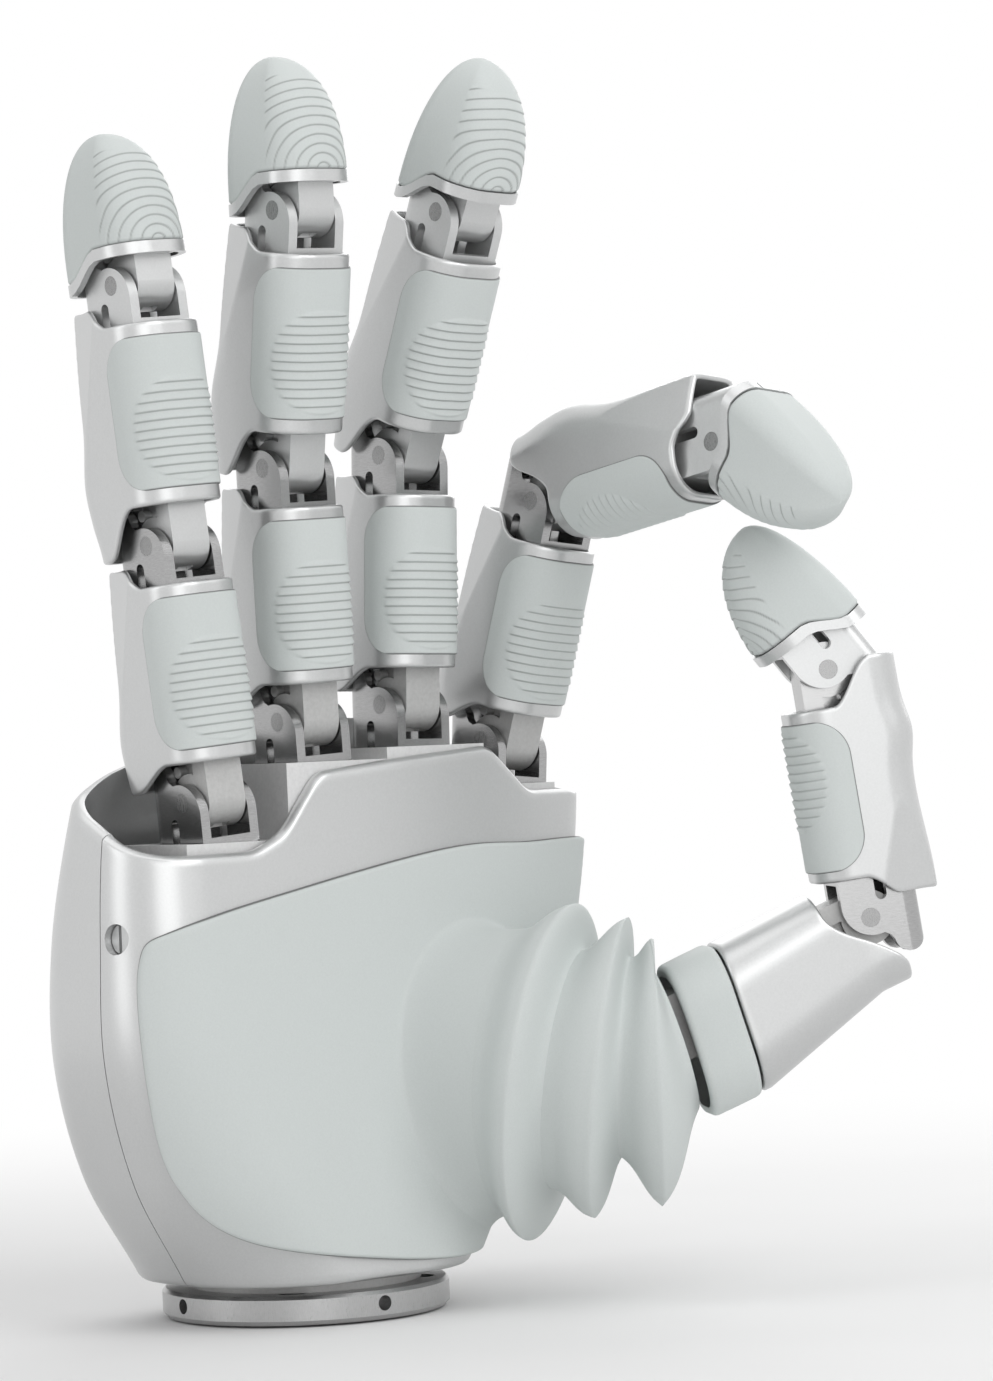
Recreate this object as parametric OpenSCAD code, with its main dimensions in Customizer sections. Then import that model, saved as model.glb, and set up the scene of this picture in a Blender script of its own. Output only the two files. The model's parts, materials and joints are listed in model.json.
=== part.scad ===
// Right dexterous robot hand: four identical jointed fingers, a thumb on a
// two-axis base under a rubber bellows, a two-piece palm shell over a cast
// chassis, and a round wrist flange.
// Millimetres. The origin is the centre of the flange's lower face, +Z runs
// up the hand towards the fingertips, -Y is the palm side, +X the thumb side.

/* [Finger links] */
// Knuckle pivot to middle joint pivot
link_a = 44; // [40:0.5:52]
// Middle joint pivot to end joint pivot
link_b = 44.5; // [40:0.5:52]
// End joint pivot to the top of the fingertip
tip_len = 27; // [24:0.5:34]
// Half the width of a finger shell
shell_a = 8.5; // [8.3:0.1:9.4]
// Pivot to the palm face of a finger shell
shell_p = 7.9; // [7.8:0.1:9]
// Pivot to the back face of a finger shell at its far end
shell_q = 13.4; // [12.8:0.1:14.5]
// Corner radius of a finger shell on the palm side
shell_rf = 6.5; // [5:0.1:6.9]
// Corner radius of a finger shell on the back
shell_rb = 6; // [4.5:0.1:6.5]
// Wall of a finger shell
shell_wall = 1.1; // [0.8:0.05:1.3]
// Height of the bump on the back of a link
bump_h = 1.7; // [0:0.1:2.4]
// Pivot to the bump along the link
bump_z = 11; // [9:0.5:15]
// How far a grip pad stands proud of its shell
pad_proud = 0.55; // [0.3:0.05:0.9]
// Clearance under a grip pad
pad_gap = 0.05; // [0.03:0.01:0.1]
// Height of a grip pad along the link
pad_h = 26.2; // [20:0.2:28]
// Corner radius of a grip pad's outline
pad_r = 6.5; // [3:0.5:7]

/* [Finger joints] */
// Outer width of a joint bracket
clevis_w = 12.1; // [11.4:0.1:12.6]
// Thickness of a bracket ear
ear_t = 1.85; // [1.5:0.05:2.1]
// Side clearance between tongue and ear
side_gap = 0.3; // [0.15:0.05:0.5]
// Radius of a joint pin
pin_r = 1.65; // [1.2:0.05:1.9]
// Running clearance on the radius of a pin
run_gap = 0.05; // [0.02:0.01:0.09]
// Gap round a pressed pin
press_gap = 0.02; // [0.01:0.01:0.03]
// Radius of a tongue's round end
tongue_r = 4.8; // [4.4:0.1:4.9]
// Pivot to the back of a bracket
clevis_back = 9.2; // [8.8:0.1:9.6]
// Pivot to the top of a bracket's horn
horn_top = 6.8; // [6:0.1:7]
// Pivot down to the sideways pivot in the palm
spread_drop = 13; // [12:0.5:15]
// Radius of the sideways pivot pin
spread_r = 2; // [1.5:0.1:2.6]
// Radius of the sideways boss
boss_r = 5.6; // [5:0.1:6]

/* [Hand layout] */
// Little finger knuckle
little_at = [-22, -7, 89.5];
// Ring finger knuckle
ring_at = [1.5, -4, 102.5];
// Middle finger knuckle
middle_at = [24.5, -4, 104.5];
// Index finger knuckle
index_at = [46.5, -5, 97];
// Little finger: turn, spread, then bend of the three joints
little_pose = [0.6, -4.5, -3.4, 0.4, -1];
// Ring finger: turn, spread, then bend of the three joints
ring_pose = [0.9, -2.8, 1.8, 8.8, -9];
// Middle finger: turn, spread, then bend of the three joints
middle_pose = [1.5, 1.2, 1.8, 20.3, 3];
// Index finger: turn, spread, then bend of the three joints
index_pose = [3.5, 5.1, 15, 65.4, 45];

/* [Thumb] */
// Thumb knuckle pivot
thumb_at = [74.1, -66.6, 64.3];
// Turn of the thumb's plane about the vertical
thumb_turn = -123; // [-140:1:-110]
// Thumb: lean of the metacarpal, then bend of the two joints
thumb_pose = [-67, 74.5, 30];
// Thumb knuckle pivot to its end joint pivot
link_t = 43.5; // [38:0.5:48]
// End joint pivot to the top of the thumb's tip
thumb_tip_len = 28; // [26:0.5:34]
// Length of the metacarpal from its base pivot to the knuckle
meta_len = 49.5; // [45:0.5:60]
// Offset of the base pivot towards the back
meta_off = 3; // [0:0.5:5]
// Distance between the two base pivots
base_gap = 13; // [12:0.5:16]
// Direction from the first base pivot to the second, in plan
base_dir = -56; // [-70:1:-40]
// Radius of the base pins
base_pin_r = 2.5; // [2:0.1:3]
// Length of the soft cuff
cuff_len = 9.8; // [7:0.2:12]

/* [Palm] */
// Wall of the palm shells
palm_wall = 2.2; // [1.6:0.1:3]
// Thickness of the soft palm skin
skin_t = 1.0; // [0.8:0.1:1.6]
// Gap between the palm skin and its recess
skin_gap = 0.7; // [0.5:0.05:0.9]
// Height of the lower edge of the palm shells
palm_z = 6.8; // [6.4:0.2:9]
// Seam between the front and back shell
seam_y = -2.6; // [-2.8:0.2:4]
// Gap at the seam
seam_gap = 0.2; // [0.1:0.05:0.4]
// Deck below each knuckle pivot
deck_drop = 7.4; // [7:0.1:8.5]

/* [Wrist] */
// Outer radius of the wrist flange
flange_r = 25; // [24:0.5:28]
// Height of the wrist flange's rim
flange_h = 5; // [5:0.2:8]
// Radius of the flange's four mounting holes
bolt_r = 2.5; // [2:0.05:3]
// Radius of the circle of the mounting holes
bolt_circle_r = 20; // [18:0.5:20.5]
// Depth of the mounting holes
bolt_depth = 6; // [4:0.5:6.5]
// Radius of the centre bore
centre_r = 12; // [8:0.5:14]
// Radius of the four side holes
side_hole_r = 1.3; // [0.8:0.1:1.6]
// Turn of the pattern of side holes
side_hole_turn = -6; // [-45:1:45]

/* [Hidden] */
$fn = 48;
eps = 0.01;

silver = [0.80, 0.81, 0.82];
steel = [0.52, 0.53, 0.54];
matte = [0.74, 0.75, 0.76];
rubber = [0.80, 0.84, 0.83];
white = [0.94, 0.94, 0.94];

ear_in = clevis_w / 2 - ear_t;
tongue_w = 2 * (ear_in - side_gap);
clevis_front = tongue_r;
back_wall = 1.7;
horn_r = 2.8;
rim_front = 7;
rim_back = 3.2;
arch_z = 6.5;
// Lower ends of the skirts on the first, second and thumb links
skirt_a = 2.3;
skirt_b = -2;
skirt_t = -1.4;
seat_low = -14;
core_low = 10.9;
cuff_end = 28;
// Slant of the shell's and cuff's end planes
cuff_tilt = 6.8;
boss_front = -3.6;
boss_back = 6.4;

meta_dir = [-sin(thumb_turn) * sin(-thumb_pose[0]), cos(thumb_turn) * sin(-thumb_pose[0]),
    cos(thumb_pose[0])];
meta_back = [-sin(thumb_turn) * cos(thumb_pose[0]), cos(thumb_turn) * cos(thumb_pose[0]),
    sin(thumb_pose[0])];
thumb_c2 = thumb_at
    - meta_len * meta_dir
    + meta_off * meta_back;
thumb_c1 = thumb_c2 - base_gap * [cos(base_dir), sin(base_dir), 0];

// ---- small helpers -------------------------------------------------------

function mix(a, b, t) = a + (b - a) * t;
function clamp01(t) = max(0, min(1, t));
function smooth(t) = let (s = clamp01(t)) s * s * (3 - 2 * s);

// Side profile: drawn as (y, z), extruded along x
module side(w) {
    rotate([90, 0, 90])
        linear_extrude(w, center = true)
            children();
}

module along_x(r, w) {
    rotate([0, 90, 0])
        cylinder(h = w, r = r, center = true);
}

module along_y(r, y0, y1) {
    translate([0, y0, 0])
        rotate([-90, 0, 0])
            cylinder(h = y1 - y0, r = r);
}

// Rounded section outline, counter-clockwise, a fixed count of points:
// x from xl to xr, y from yf to yb, corner radii rf in front, rb behind
nc = 5;
ns = 5;
function arc_pts(cx, cy, r, a0, k) =
    [for (i = [0 : k - 1]) let (a = a0 + 90 * i / (k - 1))
        [cx + r * cos(a), cy + r * sin(a)]];
function section(xl, xr, yf, yb, rf, rb, k = nc, m = ns) = concat(
    arc_pts(xr - rf, yf + rf, rf, -90, k),
    [for (i = [1 : m]) [xr, mix(yf + rf, yb - rb, i / (m + 1))]],
    arc_pts(xr - rb, yb - rb, rb, 0, k),
    arc_pts(xl + rb, yb - rb, rb, 90, k),
    [for (i = [1 : m]) [xl, mix(yb - rb, yf + rf, i / (m + 1))]],
    arc_pts(xl + rf, yf + rf, rf, 180, k));

// Closed skin over rings of equal point count, capped at both ends
module loft(rings) {
    n = len(rings[0]);
    m = len(rings);
    pts = [for (r = rings) for (p = r) p];
    sides = [for (k = [0 : m - 2]) for (j = [0 : n - 1])
        let (a = k * n + j, b = k * n + (j + 1) % n)
        for (t = [[a, a + n, b], [b, a + n, b + n]]) t];
    polyhedron(
        points = pts,
        faces = concat(
            sides,
            [[for (j = [0 : n - 1]) j]],
            [[for (j = [n - 1 : -1 : 0]) (m - 1) * n + j]]),
        convexity = 6);
}

// Closed tube: rings run up the outside and back down the inside
module tube(rings) {
    n = len(rings[0]);
    m = len(rings);
    pts = [for (r = rings) for (p = r) p];
    polyhedron(
        points = pts,
        faces = [for (k = [0 : m - 1]) for (j = [0 : n - 1])
            let (k2 = (k + 1) % m,
                 a = k * n + j, b = k * n + (j + 1) % n,
                 c = k2 * n + j, d = k2 * n + (j + 1) % n)
            for (t = [[a, c, b], [b, c, d]]) t],
        convexity = 8);
}

// ---- finger shells -------------------------------------------------------

// Lower rim: straight in front, an arch, then a skirt over the bracket
function low_rim(y, skirt) = mix(arch_z, skirt, smooth((y + 0.6) / 8.6));
// Upper rim: straight in front, rising in an S to the back
function top_rim(y, len) = mix(len - rim_front, len - rim_back, smooth(y / 6.8));
// Back line of a link, with the bump near its lower end
function back_y(z, len, slim) =
    slim ? shell_q - 1 + 0.8 * smooth((z - 22) / 16) + 1.1 * exp(-pow((z - 12.5) / 4.5, 2))
    : mix(shell_q + 0.6, shell_q, clamp01(z / len))
        + bump_h * exp(-pow((z - bump_z) / 7, 2)) - 0.9 * smooth((5 - z) / 7);
// Flat facet that cuts each back corner, deeper towards the upper end
facet_n = [0.940, 0.324, 0.103];
function facet(p, d) = let (v = facet_n * [abs(p[0]), p[1], p[2]] - d)
    v <= 0 ? p
    : [sign(p[0]) * (abs(p[0]) - v * facet_n[0]), p[1] - v * facet_n[1],
        p[2] - v * facet_n[2]];
facet_d = 0.94 * shell_a + 0.324 * 3 + 0.103 * 39;

function shell_ring(t, len, off, skirt, slim) =
    let (base = section(-shell_a, shell_a, -shell_p, shell_q, shell_rf, shell_rb))
    [for (j = [0 : len(base) - 1])
        let (y0 = base[j][1],
             z = mix(low_rim(y0, skirt), top_rim(y0, len), t),
             s = section(-shell_a + off, shell_a - off, -shell_p + off,
                 back_y(z, len, slim) - off, shell_rf - off, shell_rb - off))
        facet([s[j][0], s[j][1], z], facet_d + (len - 44) * 0.103 - off)];

module link_shell(len, skirt, slim = false) {
    up = [0, 0.07, 0.17, 0.27, 0.38, 0.52, 0.72, 1];
    down = [1, 0.66, 0.36, 0.16, 0];
    tube(concat(
        [for (t = up) shell_ring(t, len, 0, skirt, slim)],
        [for (t = down) shell_ring(t, len, shell_wall, skirt, slim)]));
}

// Grip pad: wraps the palm face and both sides of a link
module grip_pad(len) {
    mid = (arch_z + len - rim_front) / 2 + 0.1;
    top = mid + pad_h / 2;
    low = mid - pad_h / 2;
    edge = 1.0;
    intersection() {
        translate([0, 0, low])
            linear_extrude(pad_h)
                difference() {
                    pad_section(pad_proud);
                    pad_section(pad_gap);
                }
        side(4 * shell_a)
            union() {
                translate([-2 * shell_p, low])
                    square([2 * shell_p + edge - pad_r, pad_h]);
                translate([-2 * shell_p, low + pad_r])
                    square([2 * shell_p + edge, pad_h - 2 * pad_r]);
                translate([edge - pad_r, low + pad_r])
                    circle(pad_r);
                translate([edge - pad_r, top - pad_r])
                    circle(pad_r);
            }
    }
}

module pad_section(off) {
    w = shell_a + off;
    p = shell_p + off;
    r = shell_rf + off;
    for (s = [-1, 1])
        translate([s * (w - r), -p + r])
            circle(r);
    translate([-w + r, -p])
        square([2 * (w - r), 2 * r]);
    translate([-w, -p + r])
        square([2 * w, 12]);
}

// ---- joint bracket and tongue --------------------------------------------

module clevis_profile() {
    translate([0.6, -2.3])
        circle(clevis_front + 0.6);
    polygon([
        [-clevis_front, seat_low], [-clevis_front, -2.3], [0.6, 3.1],
        [2, 2.9], [3.1, 3.5], [4.2, 5.3], [5, horn_top - 0.3],
        [5.8, horn_top], [clevis_back - horn_r, horn_top],
        [clevis_back - horn_r, seat_low]]);
    translate([clevis_back - horn_r, horn_top - horn_r])
        circle(horn_r);
    translate([clevis_back - horn_r - 0.1, seat_low])
        square([horn_r + 0.1, horn_top - horn_r - seat_low]);
}

module clevis_plan() {
    r = 3;
    w = clevis_w / 2;
    translate([-w, -clevis_front])
        square([clevis_w, clevis_front + clevis_back - r]);
    translate([-w + r, 0])
        square([clevis_w - 2 * r, clevis_back]);
    for (s = [-1, 1])
        translate([s * (w - r), clevis_back - r])
            circle(r);
}

// U-shaped bracket round a pivot at the origin, standing on z = seat_low
module clevis() {
    difference() {
        intersection() {
            side(clevis_w)
                clevis_profile();
            translate([0, 0, seat_low])
                linear_extrude(horn_top - seat_low + 1)
                    clevis_plan();
        }
        translate([-ear_in, -2 * clevis_front, -6.2])
            cube([2 * ear_in, 2 * clevis_front + clevis_back - back_wall, 30]);
        translate([-ear_in, -clevis_front + 1.3, -9])
            cube([2 * ear_in, clevis_front - 1.3 + clevis_back - back_wall, 10]);
        side(2 * clevis_w) {
            translate([2.5, -3.8])
                circle(1);
            translate([1.5, -8.4])
                square([2, 4.6]);
        }
        along_x(pin_r + press_gap, 2 * clevis_w);
        for (s = [-1, 1])
            translate([s * clevis_w / 2, -1, -10.6])
                along_x(0.6, 2);
    }
    // sensor plug on the floor of the window
    translate([-2.6, -2.6, -9 - eps])
        cube([3.4, 1.8, 1.6]);
    translate([2, -1.6, -9 - eps])
        cylinder(h = 1.3, r = 1.1);
}

module pin() {
    along_x(pin_r, clevis_w);
}

// Tongue that turns between the ears, with the two stop pins
module tongue(top) {
    difference() {
        union() {
            along_x(tongue_r, tongue_w);
            translate([-tongue_w / 2, -tongue_r, 0])
                cube([tongue_w, tongue_r - 1.4, top]);
            translate([-tongue_w / 2, -2, 0])
                cube([tongue_w, 4.4, 2]);
            translate([-2.4, -2, 0])
                cube([4.8, 6.2, top]);
        }
        along_x(pin_r + run_gap, 2 * tongue_w);
        translate([-1.6, -2.4, -tongue_r - 1])
            cube([3.2, 2, 1.8]);
    }
}

module stop_pins() {
    for (s = [-1, 1])
        translate([s * 3.27, 2.7, 5.2])
            along_x(0.95, 2 * (ear_in - 0.15) - 2 * 2.42 > 0 ? ear_in - 0.15 - 2.42 : 1);
}

// Solid core of a link between its tongue and its upper bracket
module core(len) {
    low = core_low;
    top = len + seat_low;
    translate([-5, -4.8, low])
        cube([10, 4.8 + 8.6, top - low]);
    rib = shell_a - shell_wall - 0.05;
    translate([-rib, -0.6, low + 3])
        cube([2 * rib, 5.6, 5]);
}

// ---- fingertip -----------------------------------------------------------

tip_a = 8.3;
tip_p = 7.7;
tip_q = 12.2;
tip_rf = 6.3;
tip_rb = 5;
band_h = 2;
tip_front = 4.4;
tip_skirt = -0.3;
function tip_rim(y, front, back) = mix(front, back, smooth((y - 0.4) / 8.2));

function tip_ring(t, off, front, back, top) =
    let (base = section(-tip_a, tip_a, -tip_p, tip_q, tip_rf, tip_rb),
         ax = 1.6)
    [for (j = [0 : len(base) - 1])
        let (z0 = tip_rim(base[j][1], front, back) + band_h + 0.25,
             z = mix(z0, top - off, t),
             h = (z - 3) / (top - off - 3),
             s = pow(max(0, 1 - pow(max(0, h), 2.3)), 0.5),
             sx = pow(max(0, 1 - pow(max(0, h), 2.6)), 0.5),
             p = section(-tip_a + off, tip_a - off, -tip_p + off, tip_q - off,
                 tip_rf - off, tip_rb - off)[j])
        [p[0] * sx, ax + (p[1] - ax) * s, z]];

module tip_skin(front, back, top) {
    wall = 1.3;
    up = [0, 0.16, 0.34, 0.52, 0.68, 0.81, 0.91, 0.97, 0.993];
    down = [0.985, 0.9, 0.72, 0.4, 0];
    n = len(tip_ring(0, 0, front, back, top));
    rings = concat(
        [for (t = up) tip_ring(t, 0, front, back, top)],
        [for (t = down) tip_ring(t, wall, front, back, top)]);
    m = len(up);
    // outer dome, crown, inner dome and crown, and the rim between them
    pts = concat([for (r = rings) for (p = r) p],
        [[0, 1.6, top], [0, 1.6, top - wall]]);
    a = len(rings) * n;
    faces = concat(
        [for (k = [0 : m - 2]) for (j = [0 : n - 1])
            let (p = k * n + j, q = k * n + (j + 1) % n)
            for (t = [[p, p + n, q], [q, p + n, q + n]]) t],
        [for (j = [0 : n - 1]) [(m - 1) * n + j, a, (m - 1) * n + (j + 1) % n]],
        [for (j = [0 : n - 1]) [m * n + (j + 1) % n, a + 1, m * n + j]],
        [for (k = [m : len(rings) - 2]) for (j = [0 : n - 1])
            let (p = k * n + j, q = k * n + (j + 1) % n)
            for (t = [[p, p + n, q], [q, p + n, q + n]]) t],
        [for (j = [0 : n - 1])
            let (p = (len(rings) - 1) * n + j, q = (len(rings) - 1) * n + (j + 1) % n,
                 c = j, d = (j + 1) % n)
            for (t = [[p, c, q], [q, c, d]]) t]);
    polyhedron(points = pts, faces = faces, convexity = 6);
}

module tip_outline(off) {
    a = tip_a - off;
    rf = tip_rf - off;
    rb = tip_rb - off;
    for (s = [-1, 1]) {
        translate([s * (a - rf), -tip_p + off + rf])
            circle(rf);
        translate([s * (a - rb), tip_q - off - rb])
            circle(rb);
    }
    translate([-a + rf, -tip_p + off])
        square([2 * (a - rf), tip_p + tip_q - 2 * off]);
    translate([-a, -tip_p + off + rf])
        square([2 * a, tip_p + tip_q - 2 * off - rf - rb]);
}

// Silver band that carries the soft fingertip, following the rim's S
module tip_band(front, back) {
    ys = [for (i = [0 : 14]) mix(-tip_p - 1, tip_q + 1, i / 14)];
    intersection() {
        linear_extrude(40, center = true)
            difference() {
                tip_outline(0);
                tip_outline(1.3);
            }
        side(4 * tip_a)
            polygon(concat(
                [for (y = ys) [y, tip_rim(y, front, back)]],
                [for (i = [14 : -1 : 0])
                    [ys[i], tip_rim(ys[i], front, back) + band_h]]));
    }
}

// Core inside the soft fingertip
module tip_core(low) {
    translate([0, 1.2, core_low])
        cylinder(h = 18 - core_low, r = 4.6);
    translate([-tongue_w / 2, -tip_p + 0.6, low])
        cube([tongue_w, tip_p - 3, 1.9]);
}

module tip_frame() {
    difference() {
        union() {
            tongue(core_low + 0.1);
            tip_core(tip_front);
            tip_band(tip_front, tip_skirt);
        }
        along_x(pin_r + run_gap, 2 * tongue_w);
    }
}

// ---- finger placement ----------------------------------------------------

module at_knuckle(at, pose) {
    translate(at)
        rotate([0, 0, pose[0]])
            rotate([0, pose[1], 0])
                children();
}

module at_link_a(at, pose) {
    at_knuckle(at, pose)
        rotate([pose[2], 0, 0])
            children();
}

module at_link_b(at, pose) {
    at_link_a(at, pose)
        translate([0, 0, link_a])
            rotate([pose[3], 0, 0])
                children();
}

module at_tip(at, pose) {
    at_link_b(at, pose)
        translate([0, 0, link_b])
            rotate([pose[4], 0, 0])
                children();
}

// Knuckle bracket: its round boss turns sideways on a pin in the palm
module knuckle(at, pose) {
    color(steel)
        at_knuckle(at, pose) {
            difference() {
                union() {
                    clevis();
                    translate([-boss_r, boss_front, -spread_drop])
                        cube([2 * boss_r, boss_back - boss_front, spread_drop - 9 + eps]);
                    translate([0, 0, -spread_drop])
                        along_y(boss_r, boss_front, boss_back);
                }
                translate([-clevis_w, -2 * clevis_front, -9.2 - clevis_w])
                    cube([2 * clevis_w, 2 * clevis_front + boss_front, clevis_w]);
                translate([-clevis_w, boss_back, -9.2 - clevis_w])
                    cube([2 * clevis_w, clevis_back, clevis_w]);
                for (s = [-1, 1])
                    translate([s * (clevis_w + boss_r) - clevis_w, -clevis_w, -15])
                        cube([2 * clevis_w, 3 * clevis_w, 5.8]);
                translate([0, 0, -spread_drop])
                    along_y(spread_r + run_gap, -2 * clevis_front, 2 * clevis_back);
            }
            pin();
        }
}

module finger_tongue(at, pose) {
    color(matte)
        at_link_a(at, pose) {
            tongue(core_low + 0.1);
            core(link_a);
            stop_pins();
        }
}

module finger_bracket(at, pose) {
    color(steel)
        at_link_a(at, pose)
            translate([0, 0, link_a]) {
                clevis();
                pin();
            }
}

module finger_link_b(at, pose) {
    color(silver)
        at_link_b(at, pose) {
            tongue(core_low + 0.1);
            core(link_b);
            stop_pins();
            translate([0, 0, link_b]) {
                clevis();
                pin();
            }
        }
}

module finger_shell_a(at, pose) {
    color(silver)
        at_link_a(at, pose)
            link_shell(link_a, skirt_a);
}

module finger_shell_b(at, pose) {
    color(silver)
        at_link_b(at, pose)
            link_shell(link_b, skirt_b);
}

module finger_pad_a(at, pose) {
    color(rubber)
        at_link_a(at, pose)
            grip_pad(link_a);
}

module finger_pad_b(at, pose) {
    color(rubber)
        at_link_b(at, pose)
            grip_pad(link_b);
}

module finger_tip_frame(at, pose) {
    color(silver)
        at_tip(at, pose) {
            tip_frame();
            stop_pins();
        }
}

module finger_tip_skin(at, pose) {
    color(rubber)
        at_tip(at, pose)
            tip_skin(tip_front, tip_skirt, tip_len);
}

knuckle(little_at, little_pose);  // little_knuckle
finger_tongue(little_at, little_pose);  // little_tongue
finger_shell_a(little_at, little_pose);  // little_shell_a
finger_pad_a(little_at, little_pose);  // little_pad_a
finger_bracket(little_at, little_pose);  // little_bracket
finger_link_b(little_at, little_pose);  // little_link_b
finger_shell_b(little_at, little_pose);  // little_shell_b
finger_pad_b(little_at, little_pose);  // little_pad_b
finger_tip_frame(little_at, little_pose);  // little_tip_frame
finger_tip_skin(little_at, little_pose);  // little_tip_skin

// ---- palm ----------------------------------------------------------------

fingers = [[little_at, little_pose], [ring_at, ring_pose],
    [middle_at, middle_pose], [index_at, index_pose]];

// Point on a finger's sideways pivot line
function spread_at(f) = let (a = f[1][1], t = f[1][0], k = -spread_drop * sin(a))
    f[0] + [k * cos(t), k * sin(t), -spread_drop * cos(a)];

// Outer section of the palm by height: left, right, front, back, corners
palm_rows = [
    [9, -29, 29, -24, 24, 20, 20],
    [25, -38, 38, -22, 24, 18, 16],
    [45, -43, 47, -19, 22.5, 15, 10],
    [65, -43, 53, -16.5, 20.5, 13, 6],
    [85, -41.5, 56.5, -15, 16, 12, 4],
    [105, -37, 57, -14.4, 12, 10, 4]];
function palm_slope(i, c) =
    let (n = len(palm_rows), a = max(0, i - 1), b = min(n - 1, i + 1))
    (palm_rows[b][c] - palm_rows[a][c]) / (palm_rows[b][0] - palm_rows[a][0]);
function palm_row(z) =
    let (n = len(palm_rows),
         i = z < palm_rows[1][0] ? 0 : z < palm_rows[2][0] ? 1
            : z < palm_rows[3][0] ? 2 : z < palm_rows[4][0] ? 3 : 4,
         z0 = palm_rows[i][0], d = palm_rows[i + 1][0] - z0,
         t = (z - z0) / d, t2 = t * t, t3 = t2 * t)
    [for (c = [1 : 6])
        (2 * t3 - 3 * t2 + 1) * palm_rows[i][c]
            + (t3 - 2 * t2 + t) * d * palm_slope(i, c)
            + (3 * t2 - 2 * t3) * palm_rows[i + 1][c]
            + (t3 - t2) * d * palm_slope(i + 1, c)];

// Point on the palm side of the section, by distance round it from x = 0
function palm_pt(s, z, off) =
    let (w = palm_row(z), rl = w[4], rr = w[5],
         fl = w[0] + rl, fr = w[1] - rr, q = 90 * PI / 180)
    s > fr
        ? (s - fr < q * rr
            ? let (a = (s - fr) / rr * 180 / PI)
                [fr + (rr + off) * sin(a), w[2] + rr - (rr + off) * cos(a), z]
            : [w[1] + off, w[2] + rr + (s - fr - q * rr), z])
        : s < fl
        ? (fl - s < q * rl
            ? let (a = (fl - s) / rl * 180 / PI)
                [fl - (rl + off) * sin(a), w[2] + rl - (rl + off) * cos(a), z]
            : [w[0] - off, w[2] + rl + (fl - s - q * rl), z])
        : [s, w[2] - off, z];

// Rim of the palm in front and behind
front_rim_line = [[-41, 81.2], [-34, 80.3], [-18, 80.4], [-11.5, 83.4], [-4.2, 93.4],
    [14, 95.2], [34.7, 96.7], [43.7, 88.4], [57, 88.3]];
back_rim_line = [[-41, 88.8], [-30, 94.5], [-12, 100], [2, 101.5], [24, 103],
    [40, 99], [57, 91]];
function rim_z(x, y) = mix(lookup(x, front_rim_line), lookup(x, back_rim_line),
    smooth((y + 13) / 25));

// Front half of the section: from the left seam round to the right seam
flat_x = [-29, -22, -18, -15.3, -11.5, -7.7, -4.2, -1, 6, 14, 24, 33, 34.7, 37.7, 40.7,
    43.7, 47, 52.4];
function front_arc(w, off, seam) =
    let (rl = w[4], rr = w[5], fl = w[0] + rl, fr = w[1] - rr)
    concat(
        [for (i = [0 : 2]) [w[0] + off, mix(seam, w[2] + rl, i / 3)]],
        [for (i = [0 : 7]) let (a = 90 * i / 8)
            [fl - (rl - off) * cos(a), w[2] + rl - (rl - off) * sin(a)]],
        [for (x = flat_x) [mix(fl, fr, (x - flat_x[0]) / (52.4 - flat_x[0])), w[2] + off]],
        [for (i = [1 : 6]) let (a = 90 * i / 6)
            [fr + (rr - off) * sin(a), w[2] + rr - (rr - off) * cos(a)]],
        [for (i = [1 : 3]) [w[1] - off, mix(w[2] + rr, seam, i / 3)]]);
function back_arc(w, off, seam) =
    let (r = w[4], bl = w[0] + r, br = w[1] - r)
    concat(
        [for (i = [0 : 2]) [w[1] - off, mix(seam, w[3] - r, i / 3)]],
        [for (i = [0 : 7]) let (a = 90 * i / 8)
            [br + (r - off) * cos(a), w[3] - r + (r - off) * sin(a)]],
        [for (i = [0 : 10]) [mix(br, bl, i / 10), w[3] - off]],
        [for (i = [1 : 8]) let (a = 90 * i / 8)
            [bl - (r - off) * sin(a), w[3] - r + (r - off) * cos(a)]],
        [for (i = [1 : 3]) [w[0] + off, mix(w[3] - r, seam, i / 3)]]);

// One ring of a palm shell; t runs from the lower edge to the rim
function palm_ring(t, off, front, drop) =
    let (seam = front ? seam_y - seam_gap / 2 : seam_y + seam_gap / 2,
         top = palm_row(90),
         a = front ? front_arc(top, off, seam) : back_arc(top, off, seam))
    [for (j = [0 : len(a) - 1])
        let (z = mix(palm_z, rim_z(a[j][0], a[j][1]), t) - drop,
             w = palm_row(z),
             p = front ? front_arc(w, off, seam) : back_arc(w, off, seam))
        [p[j][0], p[j][1], z]];

// Thick sheet between two grids of equal size
module sheet(outer, inner) {
    m = len(outer);
    n = len(outer[0]);
    q = m * n;
    pts = concat([for (r = outer) for (p = r) p], [for (r = inner) for (p = r) p]);
    polyhedron(
        points = pts,
        faces = concat(
            [for (i = [0 : m - 2]) for (j = [0 : n - 2])
                let (a = i * n + j, b = a + 1, c = a + n, d = c + 1)
                for (t = [[a, c, b], [b, c, d],
                    [q + a, q + b, q + c], [q + b, q + d, q + c]]) t],
            [for (j = [0 : n - 2])
                let (b = j + 1, c = (m - 1) * n + j, d = c + 1)
                for (t = [[j, b, q + b], [j, q + b, q + j],
                    [d, c, q + c], [d, q + c, q + d]]) t],
            [for (i = [0 : m - 2])
                let (a = i * n, c = a + n, b = a + n - 1, d = c + n - 1)
                for (t = [[c, a, q + a], [c, q + a, q + c],
                    [b, d, q + d], [b, q + d, q + b]]) t]),
        convexity = 8);
}

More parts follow.
